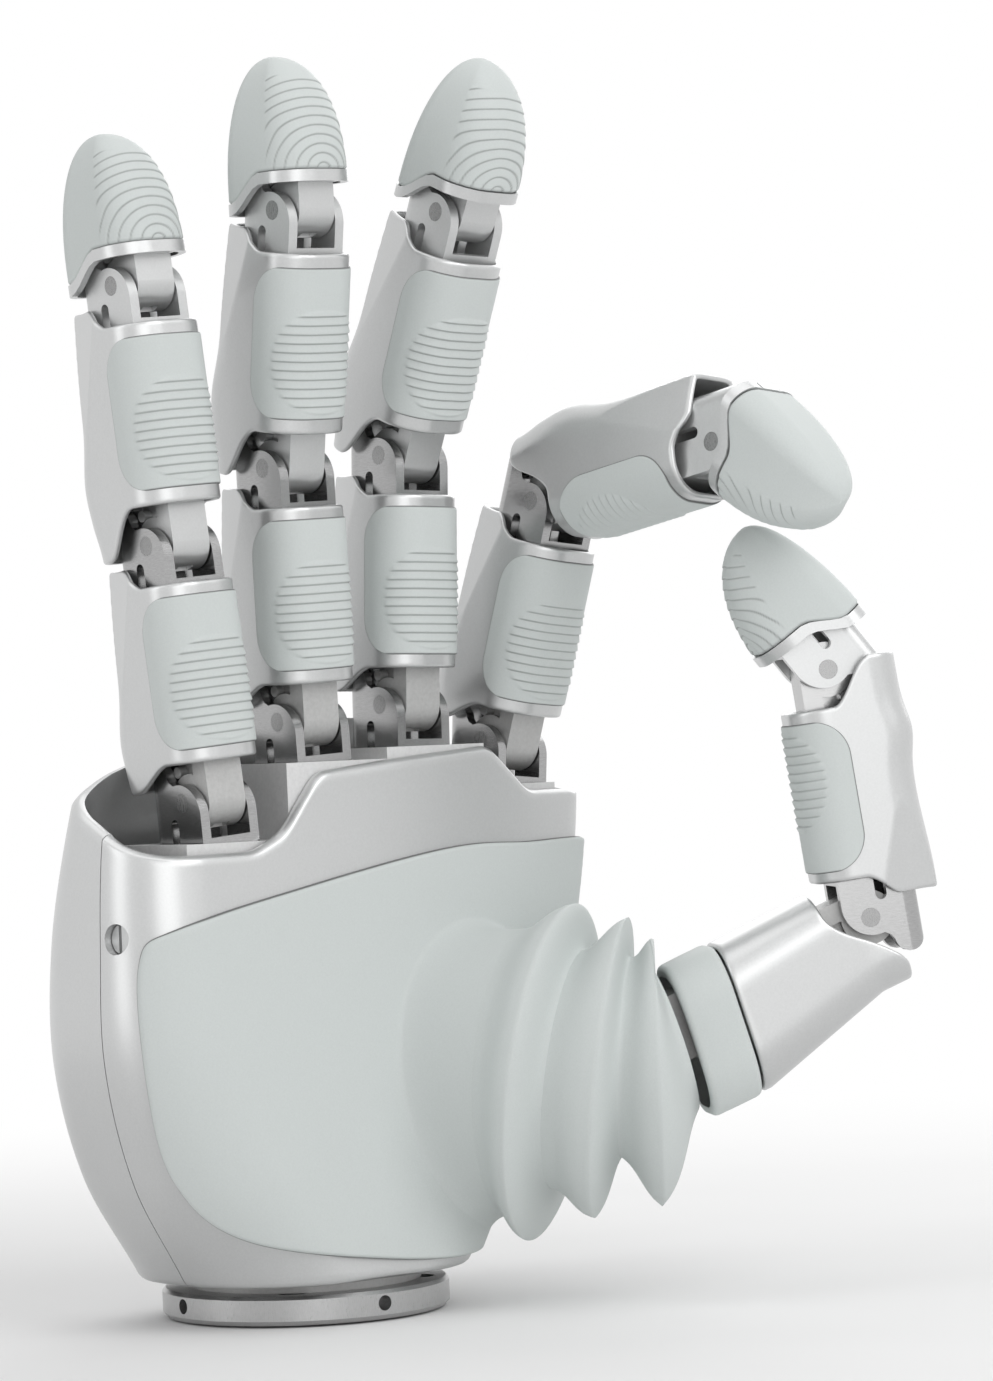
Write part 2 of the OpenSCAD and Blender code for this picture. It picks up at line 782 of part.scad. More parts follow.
module palm_half(front) {
    ts = [0.02, 0.09, 0.2, 0.33, 0.48, 0.64, 0.8, 0.92];
    edge = 1;
    outer = concat(
        [palm_ring(0, edge, front, 0)],
        [for (t = ts) palm_ring(t, 0, front, 0)],
        [palm_ring(1, 0, front, edge), palm_ring(1, 0.9 * edge, front, 0)]);
    inner = concat(
        [palm_ring(0, palm_wall, front, 0)],
        [for (t = ts) palm_ring(t, palm_wall, front, 0)],
        [palm_ring(1, palm_wall, front, edge), palm_ring(1, palm_wall, front, 0)]);
    sheet(outer, inner);
}

screw_z = 66.8;
screw_y = -6.4;
screw_sink = 1.4;
head_h = 2.3;
screw_len = 6;
module screw_pose(s) {
    w = palm_row(screw_z);
    translate([s < 0 ? w[0] : w[1], screw_y, screw_z])
        rotate([0, s * 90, 0])
            children();
}

module palm_front_shell() {
    color(silver)
        difference() {
            palm_half(true);
            for (s = [-1, 1])
                screw_pose(s)
                    translate([0, 0, -4])
                        cylinder(h = 8, r = 2.6);
            translate([thumb_c1[0] - 4, -30, thumb_c1[2]])
                rotate([-90, 0, 0])
                    cylinder(h = 24, r = 14);
        }
}

module palm_back_shell() {
    color(silver)
        palm_half(false);
}

// Slotted screws that hold the two shells to the chassis
module shell_screws() {
    color(steel)
        for (s = [-1, 1])
            screw_pose(s)
                difference() {
                    union() {
                        translate([0, 0, -screw_sink - head_h])
                            cylinder(h = head_h, r = 2.4);
                        translate([0, 0, -screw_sink - head_h - screw_len])
                            cylinder(h = screw_len + 1, r = 1.5);
                    }
                    translate([-3, -0.4, -screw_sink - 0.9])
                        cube([6, 0.8, 2]);
                }
}

// ---- soft palm skin and bellows ------------------------------------------

fold_n = 40;
// Rings of the bellows: centre, turn of the axis, dip, half height, half width
v01 = [[29.6, -25.5, 39.5], -66, 5, 25.2, 20];
c1 = [[32.2, -31, 39.5], -60, 9.8, 29.6, 25];
v12 = [[33.9, -33.2, 39.9], -55, 9.4, 20.9, 18.4];
c2 = [[38.6, -39, 40], -50, 8.4, 26.2, 21.5];
v23 = [[40.2, -41, 41.7], -46, 4.4, 17.3, 15.8];
c3 = [[43.7, -45.3, 38.9], -42, 0.5, 23.1, 19];
end = [thumb_at - (cuff_end + cuff_len + 1.5) * meta_dir + 4.4 * meta_back,
    thumb_turn + 90, -90 - thumb_pose[0] + cuff_tilt, 13.2, 11.3];

function ring_mix(a, b, t) = [for (i = [0 : 4]) mix(a[i], b[i], t)];
function ring_pt(g, ang, off) =
    let (e1 = [-sin(g[1]), cos(g[1]), 0],
         ax = [cos(g[1]) * cos(g[2]), sin(g[1]) * cos(g[2]), -sin(g[2])],
         e2 = cross(ax, e1))
    g[0] + e1 * (g[4] - off) * cos(ang) + e2 * (g[3] - off) * sin(ang);
function ring_pts(g, off) =
    [for (j = [0 : fold_n - 1]) ring_pt(g, 360 * j / fold_n, off)];

// From a valley up to a crest with rounded ends, both ends included
function flank(a, b) = [for (t = [0, 0.12, 0.5, 0.88, 1])
    let (s = t - 0.09 * sin(360 * t), g = ring_mix(a, b, t))
    [g[0], g[1], g[2], mix(a[3], b[3], s), mix(a[4], b[4], s)]];

module fold_tube(gs) {
    off = 2;
    tube(concat(
        [for (g = gs) ring_pts(g, 0)],
        [for (i = [len(gs) - 1 : -1 : 0]) ring_pts(gs[i], off)]));
}

function shrink(g, k) = [g[0], g[1], g[2], g[3] - k, g[4] - k];
function tail(v) = [for (i = [1 : len(v) - 1]) v[i]];

module bellows_inner() {
    gap = 0.03;
    color(rubber)
        fold_tube(concat(
            flank(ring_mix(v01, c1, gap), c1),
            tail(flank(c1, ring_mix(c1, v12, 1 - gap)))));
}

module bellows_outer() {
    gap = 0.03;
    color(rubber)
        fold_tube(concat(
            flank(ring_mix(v12, c2, gap), c2), tail(flank(c2, v23)),
            tail(flank(v23, c3)), tail(flank(c3, end))));
}

// Outline of the palm skin, as distance round the palm and height
skin_mid = [26, 39.5];
skin_line = [[61, 62], [61.5, 78], [40, 79.4], [22, 79], [-9, 74], [-36, 68.3],
    [-43.2, 62], [-43.5, 40], [-39.6, 25], [-27.5, 15.2], [0, 9.9], [22, 8.7],
    [41, 10.4], [49, 20.5], [56, 42]];
function spline_pt(v, k, t) =
    let (n = len(v), a = v[(k + n - 1) % n], b = v[k], c = v[(k + 1) % n],
         d = v[(k + 2) % n], t2 = t * t, t3 = t2 * t)
    0.5 * (2 * b + (c - a) * t + (2 * a - 5 * b + 4 * c - d) * t2
        + (3 * b - a - 3 * c + d) * t3);
skin_edge = [for (k = [0 : len(skin_line) - 1]) for (i = [0 : 3])
    spline_pt(skin_line, k, i / 4)];
function foot(e, k) =
    let (a = atan2((e[1] - skin_mid[1]) / 27, (e[0] - skin_mid[0]) / 20))
    skin_mid + [20 * cos(a), 27 * sin(a)] * k;
function foot_angle(e) = atan2((e[1] - skin_mid[1]) / 27, (e[0] - skin_mid[0]) / 20);

function skin_ring(t, off) = [for (e = skin_edge)
    let (b = foot(e, 1), s = mix(b, e, t))
    palm_pt(s[0], s[1], off)];
function cone_ring(t, off, thin) = [for (e = skin_edge)
    let (b = foot(e, 1), k = foot(e, 0.9),
         p0 = palm_pt(b[0], b[1], off),
         p2 = ring_pt(v01, foot_angle(e), thin),
         p1 = mix(palm_pt(k[0], k[1], off), p2, 0.22))
    (1 - t) * (1 - t) * p0 + 2 * t * (1 - t) * p1 + t * t * p2];

module palm_skin() {
    hi = skin_gap + skin_t;
    lo = skin_gap;
    color(rubber)
        tube(concat(
            [for (t = [1, 0.82, 0.64, 0.44, 0.22, 0]) skin_ring(t, hi)],
            [for (t = [0.2, 0.42, 0.66, 0.85, 1]) cone_ring(t, hi, 0)],
            [for (t = [1, 0.85, 0.66, 0.42, 0.2]) cone_ring(t, lo, 2)],
            [for (t = [0, 0.22, 0.44, 0.64, 0.82, 1]) skin_ring(t, lo)]));
}

// ---- chassis, deck, flange -----------------------------------------------

deck_front = -12.4;
deck_back = 8.4;
pocket_w = 15;

module deck_block(f, xl, xr, depth) {
    p = spread_at(f);
    top = f[0][2] - deck_drop;
    translate([xl, deck_front, top - depth])
        cube([xr - xl, deck_back - deck_front, depth]);
}

// Room for one knuckle bracket and its boss, and the bore of its pin
module deck_pocket(f) {
    at = f[0];
    p = spread_at(f);
    top = at[2] - deck_drop;
    translate([p[0], at[1], 0])
        rotate([0, 0, f[1][0]]) {
            translate([-pocket_w / 2, -5.2, top - 3.4])
                cube([pocket_w, 15.5, 12]);
            translate([-pocket_w / 2, boss_front - 0.3, p[2] - 0.2])
                cube([pocket_w, boss_back - boss_front + 0.6, 14]);
            translate([0, 0, p[2]])
                along_y(pocket_w / 2, boss_front - 0.3, boss_back + 0.3);
            translate([0, 0, p[2]])
                along_y(spread_r + press_gap, -30, 30);
        }
}

module deck_notches(x, top) {
    for (s = [-1, 1])
        translate([x + s * 3.4, deck_front + 2.3, top - 1.3])
            cylinder(h = 5, r = 1.2);
}

module knuckle_deck() {
    color(white)
        difference() {
            union() {
                deck_block(fingers[1], -9.4, 13.2, 24);
                deck_block(fingers[2], 13, 35.2, 26);
                deck_block(fingers[3], 35, 51.6, 18.5);
            }
            for (i = [1 : 3])
                deck_pocket(fingers[i]);
            deck_notches(13.1, ring_at[2] - deck_drop);
            deck_notches(35.1, index_at[2] - deck_drop);
            for (x = [-6.6, 13.2, 34.9])
                translate([x, -1, 70])
                    cylinder(h = 12, r = 1.25);
        }
}

module little_deck() {
    color(white)
        difference() {
            deck_block(fingers[0], -31.4, -9.7, 22);
            deck_pocket(fingers[0]);
            for (x = [-29.8, -11.8])
                translate([x, -1, 58])
                    cylinder(h = 11, r = 1.25);
        }
}

// Fixed pins in the palm: one under each knuckle, one through the thumb's base
module joint_pins() {
    color(steel) {
        for (f = fingers)
            let (p = spread_at(f))
                translate([p[0], f[0][1], p[2]])
                    rotate([0, 0, f[1][0]])
                        along_y(spread_r, deck_front - f[0][1] + 0.6, deck_back - f[0][1] - 0.2);
        translate([thumb_c1[0], thumb_c1[1], thumb_c1[2] - fork_out])
            cylinder(h = 2 * fork_out, r = base_pin_r);
    }
}

fork_r = 6;
fork_in = 5.8;
fork_out = 8.8;
hub_r = 5.2;

module palm_chassis() {
    deck_low = min(index_at[2] - deck_drop - 18.5, middle_at[2] - deck_drop - 26,
        ring_at[2] - deck_drop - 24);
    little_low = little_at[2] - deck_drop - 22;
    color(matte)
        difference() {
            union() {
                // foot on the wrist flange
                translate([0, 0, flange_h])
                    cylinder(h = 4, r = 20.2);
                translate([0, 0, palm_z + 0.4])
                    linear_extrude(3)
                        union() {
                            square([49.4, 15.4], center = true);
                            square([24, 39.6], center = true);
                            circle(21);
                        }
                // column and cross beams
                translate([-22, -7, palm_z + 2])
                    cube([40, 14, little_low - palm_z - 4]);
                translate([-33.6, -9, little_low - 6])
                    cube([62.2, 17, 6]);
                translate([-9.2, -8.5, little_low - 5])
                    cube([56.7, 16, deck_low - little_low + 5]);
                // arm to the thumb
                thumb_arm();
                // bosses for the shell screws
                for (s = [-1, 1])
                    screw_pose(s)
                        translate([0, 0, -11.2])
                            intersection() {
                                cylinder(h = 6.4, r = 3.4);
                                translate([-20, -20, 0])
                                    cube([40, 40, 20]);
                            }
                translate([-35, screw_y - 3, little_low - 5.5])
                    cube([3.4, 6, screw_z - little_low + 7.5]);
            }
            for (s = [-1, 1])
                screw_pose(s)
                    translate([0, 0, -12])
                        cylinder(h = 12, r = 1.52);
            translate([0, 0, -1])
                cylinder(h = 40, r = 9);
            translate([thumb_c1[0], thumb_c1[1], 0])
                cylinder(h = 100, r = base_pin_r + press_gap);
            for (x = [-14, 0, 10])
                translate([x - 3, -20, 48])
                    cube([6, 40, 5]);
        }
}

// Arm and two ears round the thumb's upright pivot
module thumb_arm() {
    for (s = [-1, 1])
        translate([thumb_c1[0], thumb_c1[1],
            thumb_c1[2] + (s > 0 ? fork_in : -fork_out)]) {
            cylinder(h = fork_out - fork_in, r = fork_r);
            rotate([0, 0, 106])
                translate([0, 0.3 - fork_r, 0])
                    cube([17, 2 * fork_r - 0.6, fork_out - fork_in]);
        }
    translate([15, -20.4, thumb_c1[2] - fork_out - 0.5])
        cube([16, 25, 2 * fork_out + 1]);
}

module wrist_flange() {
    color(silver)
        difference() {
            union() {
                cylinder(h = flange_h - 0.6, r1 = flange_r, r2 = flange_r);
                translate([0, 0, flange_h - 0.6])
                    cylinder(h = 0.6, r1 = flange_r, r2 = flange_r - 0.6);
            }
            translate([0, 0, -1])
                cylinder(h = flange_h + 2, r = centre_r);
            difference() {
                translate([0, 0, -0.01])
                    cylinder(h = 0.81, r = flange_r + 1);
                translate([0, 0, -0.02])
                    cylinder(h = 0.83, r1 = flange_r - 0.8, r2 = flange_r);
            }
            for (a = [45 : 90 : 315])
                rotate([0, 0, a])
                    translate([bolt_circle_r, 0, -1])
                        cylinder(h = bolt_depth + 1, r = bolt_r);
            for (a = [0 : 90 : 270])
                rotate([0, 0, a + side_hole_turn])
                    translate([flange_r - 5, 0, flange_h / 2 + 0.3])
                        rotate([0, 90, 0])
                            cylinder(h = 8, r = side_hole_r);
        }
}

// ---- thumb ---------------------------------------------------------------

module at_meta() {
    translate(thumb_at)
        rotate([0, 0, thumb_turn])
            rotate([thumb_pose[0], 0, 0])
                children();
}

module at_thumb_link() {
    at_meta()
        rotate([thumb_pose[1], 0, 0])
            children();
}

module at_thumb_tip() {
    at_thumb_link()
        translate([0, 0, link_t])
            rotate([thumb_pose[2], 0, 0])
                children();
}

// Block between the two base pivots, with both pins
module thumb_base() {
    color(steel) {
        difference() {
            union() {
                translate([thumb_c1[0], thumb_c1[1], thumb_c1[2] - fork_in + 0.3])
                    cylinder(h = 2 * fork_in - 0.6, r = hub_r);
                translate(thumb_c2)
                    rotate([0, 0, thumb_turn]) {
                        for (s = [-1, 1]) {
                            translate([s * 6.8, 0, 0])
                                along_x(hub_r - 0.2, 2.6);
                            translate([s * 6.8 - 1.3, -9.2, -4.8])
                                cube([2.6, 9.2, 9.6]);
                        }
                        translate([-8.1, -9.2, -4.8])
                            cube([16.2, 3.4, 9.6]);
                    }
            }
            translate([thumb_c1[0], thumb_c1[1], 0])
                cylinder(h = 100, r = base_pin_r + run_gap);
            translate(thumb_c2)
                rotate([0, 0, thumb_turn])
                    along_x(base_pin_r + press_gap, 30);
        }
        translate(thumb_c2)
            rotate([0, 0, thumb_turn])
                along_x(base_pin_r, 16.2);
    }
}

cuff_low = -cuff_end - cuff_len;

// Height of a slanted end plane above its middle
function slant(y) = -tan(cuff_tilt) * (y - 6);
function meta_ring(z, a, p, q, r, off) =
    [for (s = section(-a + off, a - off, -p + off, q - off, r - off, r - off))
        [s[0], s[1], z + slant(s[1])]];

// Rim over the thumb knuckle, the mirror of a finger link's lower rim
function meta_rim(y) = mix(-8, 2.6, smooth((y + 4.5) / 15));
function meta_shell_ring(t, off) =
    let (base = section(-shell_a, shell_a, -7.7, 12.9, 6.2, 6),
         foot = section(-11.1 + off, 11.1 - off, -7.2 + off, 19.2 - off, 8 - off, 8 - off))
    [for (j = [0 : len(base) - 1])
        let (z = mix(meta_rim(base[j][1]), -cuff_end + slant(foot[j][1]), t),
             u = clamp01((-z - 3) / 25),
             s = section(-mix(8.6, 11.1, u) + off, mix(8.6, 11.1, u) - off,
                 -mix(7.9, 7.2, u) + off, mix(12.9, 19.2, u) - off,
                 mix(6.2, 8, u) - off, mix(6, 8, u) - off))
        [s[j][0], s[j][1], z]];

module thumb_meta_shell() {
    wall = 1.1;
    color(silver)
        at_meta()
            mirror([0, 0, 1])
                tube(concat(
                    [for (t = [0, 0.1, 0.25, 0.5, 0.75, 1])
                        [for (p = meta_shell_ring(t, 0)) [p[0], p[1], -p[2]]]],
                    [for (t = [1, 0.66, 0.33, 0.1, 0])
                        [for (p = meta_shell_ring(t, wall)) [p[0], p[1], -p[2]]]]));
}

module thumb_cuff() {
    z0 = cuff_low;
    color(rubber)
        at_meta()
            tube([
                meta_ring(z0, 11, 7.2, 19.2, 8, 0.5),
                meta_ring(z0 + 0.7, 11.2, 7.4, 19.4, 8, 0),
                meta_ring(-cuff_end - 1, 11.4, 7.5, 19.6, 8, 0),
                meta_ring(-cuff_end - 0.3, 11.4, 7.5, 19.6, 8, 0.5),
                meta_ring(-cuff_end - 0.3, 11.4, 7.5, 19.6, 8, 2),
                meta_ring(z0, 11.2, 7.4, 19.4, 8, 2)]);
}

module thumb_link() {
    color(matte)
        at_meta() {
            difference() {
                union() {
                    mirror([0, 0, 1])
                        tongue(core_low + 0.1);
                    translate([-5, -3, -meta_len + 8])
                        cube([10, 11.5, meta_len - 18.9]);
                    translate([-4.8, -1.9, -meta_len])
                        cube([9.6, 9.8, 8.2]);
                    translate([0, meta_off, -meta_len])
                        along_x(hub_r - 0.3, 10.6);
                    translate([-8.9, -4.9, -33])
                        linear_extrude(3.6)
                            translate([3, 3])
                                union() {
                                    translate([-2.8, 0])
                                        square([17.4, 16]);
                                    translate([0, -2.8])
                                        square([11.8, 21.6]);
                                }
                }
                along_x(pin_r + run_gap, 30);
                translate([0, meta_off, -meta_len])
                    along_x(base_pin_r + run_gap, 30);
            }
            mirror([0, 0, 1])
                stop_pins();
        }
}

// The thumb's first link is a finger link turned end for end
module thumb_bracket() {
    color(steel)
        at_thumb_link() {
            difference() {
                union() {
                    mirror([0, 0, 1])
                        clevis();
                    translate([0, 0, link_t])
                        mirror([0, 0, 1]) {
                            tongue(core_low + 0.1);
                            core(link_t);
                        }
                }
                translate([0, 0, link_t])
                    along_x(pin_r + run_gap, 2 * tongue_w);
            }
            mirror([0, 0, 1])
                pin();
            translate([0, 0, link_t])
                mirror([0, 0, 1])
                    stop_pins();
        }
}

module thumb_shell() {
    color(silver)
        at_thumb_link()
            translate([0, 0, link_t])
                mirror([0, 0, 1])
                    link_shell(link_t, skirt_t, true);
}

module thumb_pad() {
    color(rubber)
        at_thumb_link()
            translate([0, 0, link_t])
                mirror([0, 0, 1])
                    grip_pad(link_t);
}

thumb_front = 7;
thumb_back = 3.2;

module thumb_tip_frame() {
    color(silver)
        at_thumb_tip() {
            mirror([0, 0, 1])
                difference() {
                    clevis();
                    translate([-clevis_w, -clevis_w, -10.6 - clevis_w])
                        cube([2 * clevis_w, 3 * clevis_w, clevis_w]);
                }
            translate([0, 0, 10.5])
                tip_core_at();
            tip_band(thumb_front, thumb_back);
            translate([-4, -tip_p + 0.6, thumb_front])
                cube([8, tip_p - 5, 2]);
            pin();
        }
}

module tip_core_at() {
    translate([0, 1.2, 0])
        cylinder(h = thumb_tip_len - 20, r = 4.4);
}

module thumb_tip_skin() {
    color(rubber)
        at_thumb_tip()
            tip_skin(thumb_front, thumb_back, thumb_tip_len);
}

knuckle(ring_at, ring_pose);  // ring_knuckle
finger_tongue(ring_at, ring_pose);  // ring_tongue
finger_shell_a(ring_at, ring_pose);  // ring_shell_a
finger_pad_a(ring_at, ring_pose);  // ring_pad_a
finger_bracket(ring_at, ring_pose);  // ring_bracket
finger_link_b(ring_at, ring_pose);  // ring_link_b
finger_shell_b(ring_at, ring_pose);  // ring_shell_b
finger_pad_b(ring_at, ring_pose);  // ring_pad_b
finger_tip_frame(ring_at, ring_pose);  // ring_tip_frame
finger_tip_skin(ring_at, ring_pose);  // ring_tip_skin
knuckle(middle_at, middle_pose);  // middle_knuckle
finger_tongue(middle_at, middle_pose);  // middle_tongue
finger_shell_a(middle_at, middle_pose);  // middle_shell_a
finger_pad_a(middle_at, middle_pose);  // middle_pad_a
finger_bracket(middle_at, middle_pose);  // middle_bracket
finger_link_b(middle_at, middle_pose);  // middle_link_b
finger_shell_b(middle_at, middle_pose);  // middle_shell_b
finger_pad_b(middle_at, middle_pose);  // middle_pad_b
finger_tip_frame(middle_at, middle_pose);  // middle_tip_frame
finger_tip_skin(middle_at, middle_pose);  // middle_tip_skin
knuckle(index_at, index_pose);  // index_knuckle
finger_tongue(index_at, index_pose);  // index_tongue
finger_shell_a(index_at, index_pose);  // index_shell_a
finger_pad_a(index_at, index_pose);  // index_pad_a
finger_bracket(index_at, index_pose);  // index_bracket
finger_link_b(index_at, index_pose);  // index_link_b
finger_shell_b(index_at, index_pose);  // index_shell_b
finger_pad_b(index_at, index_pose);  // index_pad_b
finger_tip_frame(index_at, index_pose);  // index_tip_frame
finger_tip_skin(index_at, index_pose);  // index_tip_skin
wrist_flange();
palm_chassis();
knuckle_deck();
little_deck();
palm_front_shell();
palm_back_shell();
palm_skin();
shell_screws();
joint_pins();
thumb_base();
thumb_link();
thumb_meta_shell();
thumb_cuff();
bellows_inner();
bellows_outer();
thumb_bracket();
thumb_shell();
thumb_pad();
thumb_tip_frame();
thumb_tip_skin();
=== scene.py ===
# %% [markdown]
# # A jointed robot hand, dressed for the studio
#
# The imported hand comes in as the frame: exact brackets, pins and flange, and coarse
# versions of everything curved or soft. This lesson keeps the exact metal, rebuilds
# the curved shells and the rubber at full smoothness, paints everything with
# procedural materials and lights it softly. Everything could be sculpted by hand
# instead, but a recipe can be measured, repeated and changed.
# Lengths in the recipes are millimetres; meshes are made in metres.

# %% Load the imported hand
import json
import math
import bpy
import bmesh
import numpy as np
from mathutils import Matrix, Vector

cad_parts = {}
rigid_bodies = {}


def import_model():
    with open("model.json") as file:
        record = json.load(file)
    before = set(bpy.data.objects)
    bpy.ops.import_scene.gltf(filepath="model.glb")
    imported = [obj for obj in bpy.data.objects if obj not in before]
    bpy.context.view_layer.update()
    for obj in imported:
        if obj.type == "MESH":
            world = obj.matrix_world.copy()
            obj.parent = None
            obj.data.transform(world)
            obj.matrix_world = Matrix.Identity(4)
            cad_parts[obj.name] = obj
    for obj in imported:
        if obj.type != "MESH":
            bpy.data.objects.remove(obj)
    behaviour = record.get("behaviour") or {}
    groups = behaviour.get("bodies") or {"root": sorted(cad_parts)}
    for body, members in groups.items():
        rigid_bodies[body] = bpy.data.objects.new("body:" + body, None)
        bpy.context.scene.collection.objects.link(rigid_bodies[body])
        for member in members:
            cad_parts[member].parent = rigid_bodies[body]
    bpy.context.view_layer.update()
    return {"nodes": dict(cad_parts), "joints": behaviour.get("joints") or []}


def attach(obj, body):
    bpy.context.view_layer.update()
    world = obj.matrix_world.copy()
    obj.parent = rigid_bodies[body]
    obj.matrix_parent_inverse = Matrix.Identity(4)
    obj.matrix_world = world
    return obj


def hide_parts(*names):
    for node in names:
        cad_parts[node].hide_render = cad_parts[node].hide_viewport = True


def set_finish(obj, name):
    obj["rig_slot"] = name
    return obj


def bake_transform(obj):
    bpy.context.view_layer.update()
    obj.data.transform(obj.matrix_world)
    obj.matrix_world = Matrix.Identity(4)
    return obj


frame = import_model()
MM, METRE = 0.001, 1000  # a millimetre in metres, a metre in millimetres
FINE = 1.0

# %% [markdown]
# ## Where the links are
#
# A finger is a chain of links on pins. Links placed by typed numbers would drift from
# the metal when a size changes, so the rest pose is read back from the joints: a link's
# frame has its origin on the joint's pin, x along the pin, z along the link, and y out
# of its back. Only each tip's bend, past the last joint, and the thumb root's lean are typed.

# %% Frames of the links
joints = {j["name"]: j for j in frame["joints"]}


def pos(name):
    return np.array(joints[name]["pos_m"]) * METRE


def frame_of(origin, x, z):
    """4x4 matrix in millimetres from an origin, a pin direction and a link direction"""
    x = x / np.linalg.norm(x)
    z = z - x * np.dot(x, z)
    z = z / np.linalg.norm(z)
    m = np.eye(4)
    m[:3, 0], m[:3, 1], m[:3, 2], m[:3, 3] = x, np.cross(z, x), z, origin
    return m


def turned(m, deg):
    """The frame m turned about its own x"""
    c, s = math.cos(math.radians(deg)), math.sin(math.radians(deg))
    r = np.eye(4)
    r[1, 1], r[1, 2], r[2, 1], r[2, 2] = c, -s, s, c
    return m @ r


FINGERS = ["little", "ring", "middle", "index"]
# Degrees that each fingertip leans from its link
TIP_BEND = {"little": -1.0, "ring": -9.0, "middle": 3.0, "index": 45.0}
links = {}
for f in FINGERS:
    mcp, pip, dip = pos(f + "_mcp"), pos(f + "_pip"), pos(f + "_dip")
    x = np.array(joints[f + "_mcp"]["axis"], float)
    links[f + "_proximal"] = frame_of(mcp, x, pip - mcp)
    links[f + "_middle"] = frame_of(pip, x, dip - pip)
    tip = links[f + "_middle"].copy()
    tip[:3, 3] = dip
    links[f + "_distal"] = turned(tip, TIP_BEND[f])
    links[f + "_len"] = (np.linalg.norm(pip - mcp), np.linalg.norm(dip - pip))

# Degrees from upright of the thumb's root link, and the bend of its tip
THUMB_LEAN, THUMB_TIP_BEND = -67.0, 30.0
mcp, ip = pos("thumb_mcp"), pos("thumb_ip")
x = -np.array(joints["thumb_mcp"]["axis"], float)
links["thumb_proximal"] = frame_of(mcp, x, ip - mcp)
upright = frame_of(mcp, x, np.array([0, 0, 1.0]))
links["thumb_metacarpal"] = turned(upright, THUMB_LEAN)
tip = links["thumb_proximal"].copy()
tip[:3, 3] = ip
links["thumb_distal"] = turned(tip, THUMB_TIP_BEND)
links["thumb_len"] = np.linalg.norm(ip - mcp)
print("link frames:", sum(1 for k in links if not k.endswith("len")))

# %% [markdown]
# ## Meshes from rings
#
# Moulded shells and rubber have round corners that run into each other. They could be
# subdivided cages or sculpts; here each is a stack of rings, because a formula for one
# ring gives exact, even quads. A ring list becomes a smooth quad skin; closing the
# stack on itself gives a wall with two faces.

# %% Ring tools
def skin(name, rings, matrix=None, closed_stack=False, closed_ring=True,
         cap=False, flip=False, lines=None):
    """Quad mesh through rings of equal length; matrix places millimetre points.
    lines gives each point a weight from 0 to 1 of painted shade, which darkens the rubber's
    paint."""
    p = np.array(rings, float)
    m, n = p.shape[:2]
    pts = p.reshape(-1, 3)
    if matrix is not None:
        pts = pts @ matrix[:3, :3].T + matrix[:3, 3]
    faces = []
    for i in range(m if closed_stack else m - 1):
        a, b = i * n, ((i + 1) % m) * n
        for j in range(n if closed_ring else n - 1):
            k = (j + 1) % n
            quad = (a + j, a + k, b + k, b + j)
            faces.append(quad[::-1] if flip else quad)
    if cap:
        last = [(m - 1) * n + j for j in range(n)]
        faces.append(tuple(last[::-1] if flip else last))
    mesh = bpy.data.meshes.new(name)
    mesh.from_pydata((pts * MM).tolist(), [], faces)
    mesh.polygons.foreach_set("use_smooth", [True] * len(mesh.polygons))
    if lines is not None:
        weights = mesh.attributes.new("line", "FLOAT", "POINT")
        weights.data.foreach_set("value", np.ravel(lines).astype(float).tolist())
    obj = bpy.data.objects.new(name, mesh)
    bpy.context.scene.collection.objects.link(obj)
    return obj


SLAT_RISE, SLAT_FALL, SLAT_CURVE = 0.14, 0.86, 1.3
# Where the painted shade under each tooth is darkest, and how far it reaches
SHADE_AT, SHADE_REACH = 0.03, 0.12


def slat(u):
    """One tooth of a ribbed surface over u in 0..1: height, and weight of the
    painted shade under its lower edge, which also wraps over from the next tooth"""
    u %= 1.0
    h = u / SLAT_RISE if u < SLAT_RISE else 1 - ((u - SLAT_RISE) / SLAT_FALL) ** SLAT_CURVE
    return h, max(0.0, 1 - abs(u - SHADE_AT) / SHADE_REACH,
                  1 - abs(u - (1 + SHADE_AT)) / SHADE_REACH)


def section(a, p, q, rf, rb, corner=12, side=8, flat=3):
    """Rounded outline of a link: half width a, palm face p, back face q"""
    out = []

    def arc(cx, cy, r, a0):
        for i in range(corner + 1):
            t = math.radians(a0 + 90 * i / corner)
            out.append((cx + r * math.cos(t), cy + r * math.sin(t)))

    def line(x0, y0, x1, y1, k):
        for i in range(1, k + 1):
            t = i / (k + 1)
            out.append((x0 + (x1 - x0) * t, y0 + (y1 - y0) * t))

    arc(a - rf, -p + rf, rf, -90)
    line(a, -p + rf, a, q - rb, side)
    arc(a - rb, q - rb, rb, 0)
    line(a - rb, q, -a + rb, q, flat)
    arc(-a + rb, q - rb, rb, 90)
    line(-a, q - rb, -a, -p + rf, side)
    arc(-a + rf, -p + rf, rf, 180)
    line(-a + rf, -p, a - rf, -p, flat)
    return out


def smooth(t):
    """Ease from 0 to 1, flat at both ends"""
    t = min(1.0, max(0.0, t))
    return t * t * (3 - 2 * t)


def mix(a, b, t):
    return a + (b - a) * t


print("ring tools ready")

# %% [markdown]
# ## Finger shells
#
# The silver shells are thin painted castings. They could be a box with bevels and a
# solidify modifier, but the wall has to meet exact rims, so both faces are ring stacks.
# One recipe serves all nine links: a rounded tube with a rim that steps up from the
# palm side to the back at each end, a skirt over the bracket behind, a bump on the
# back and a flat facet across each back corner.

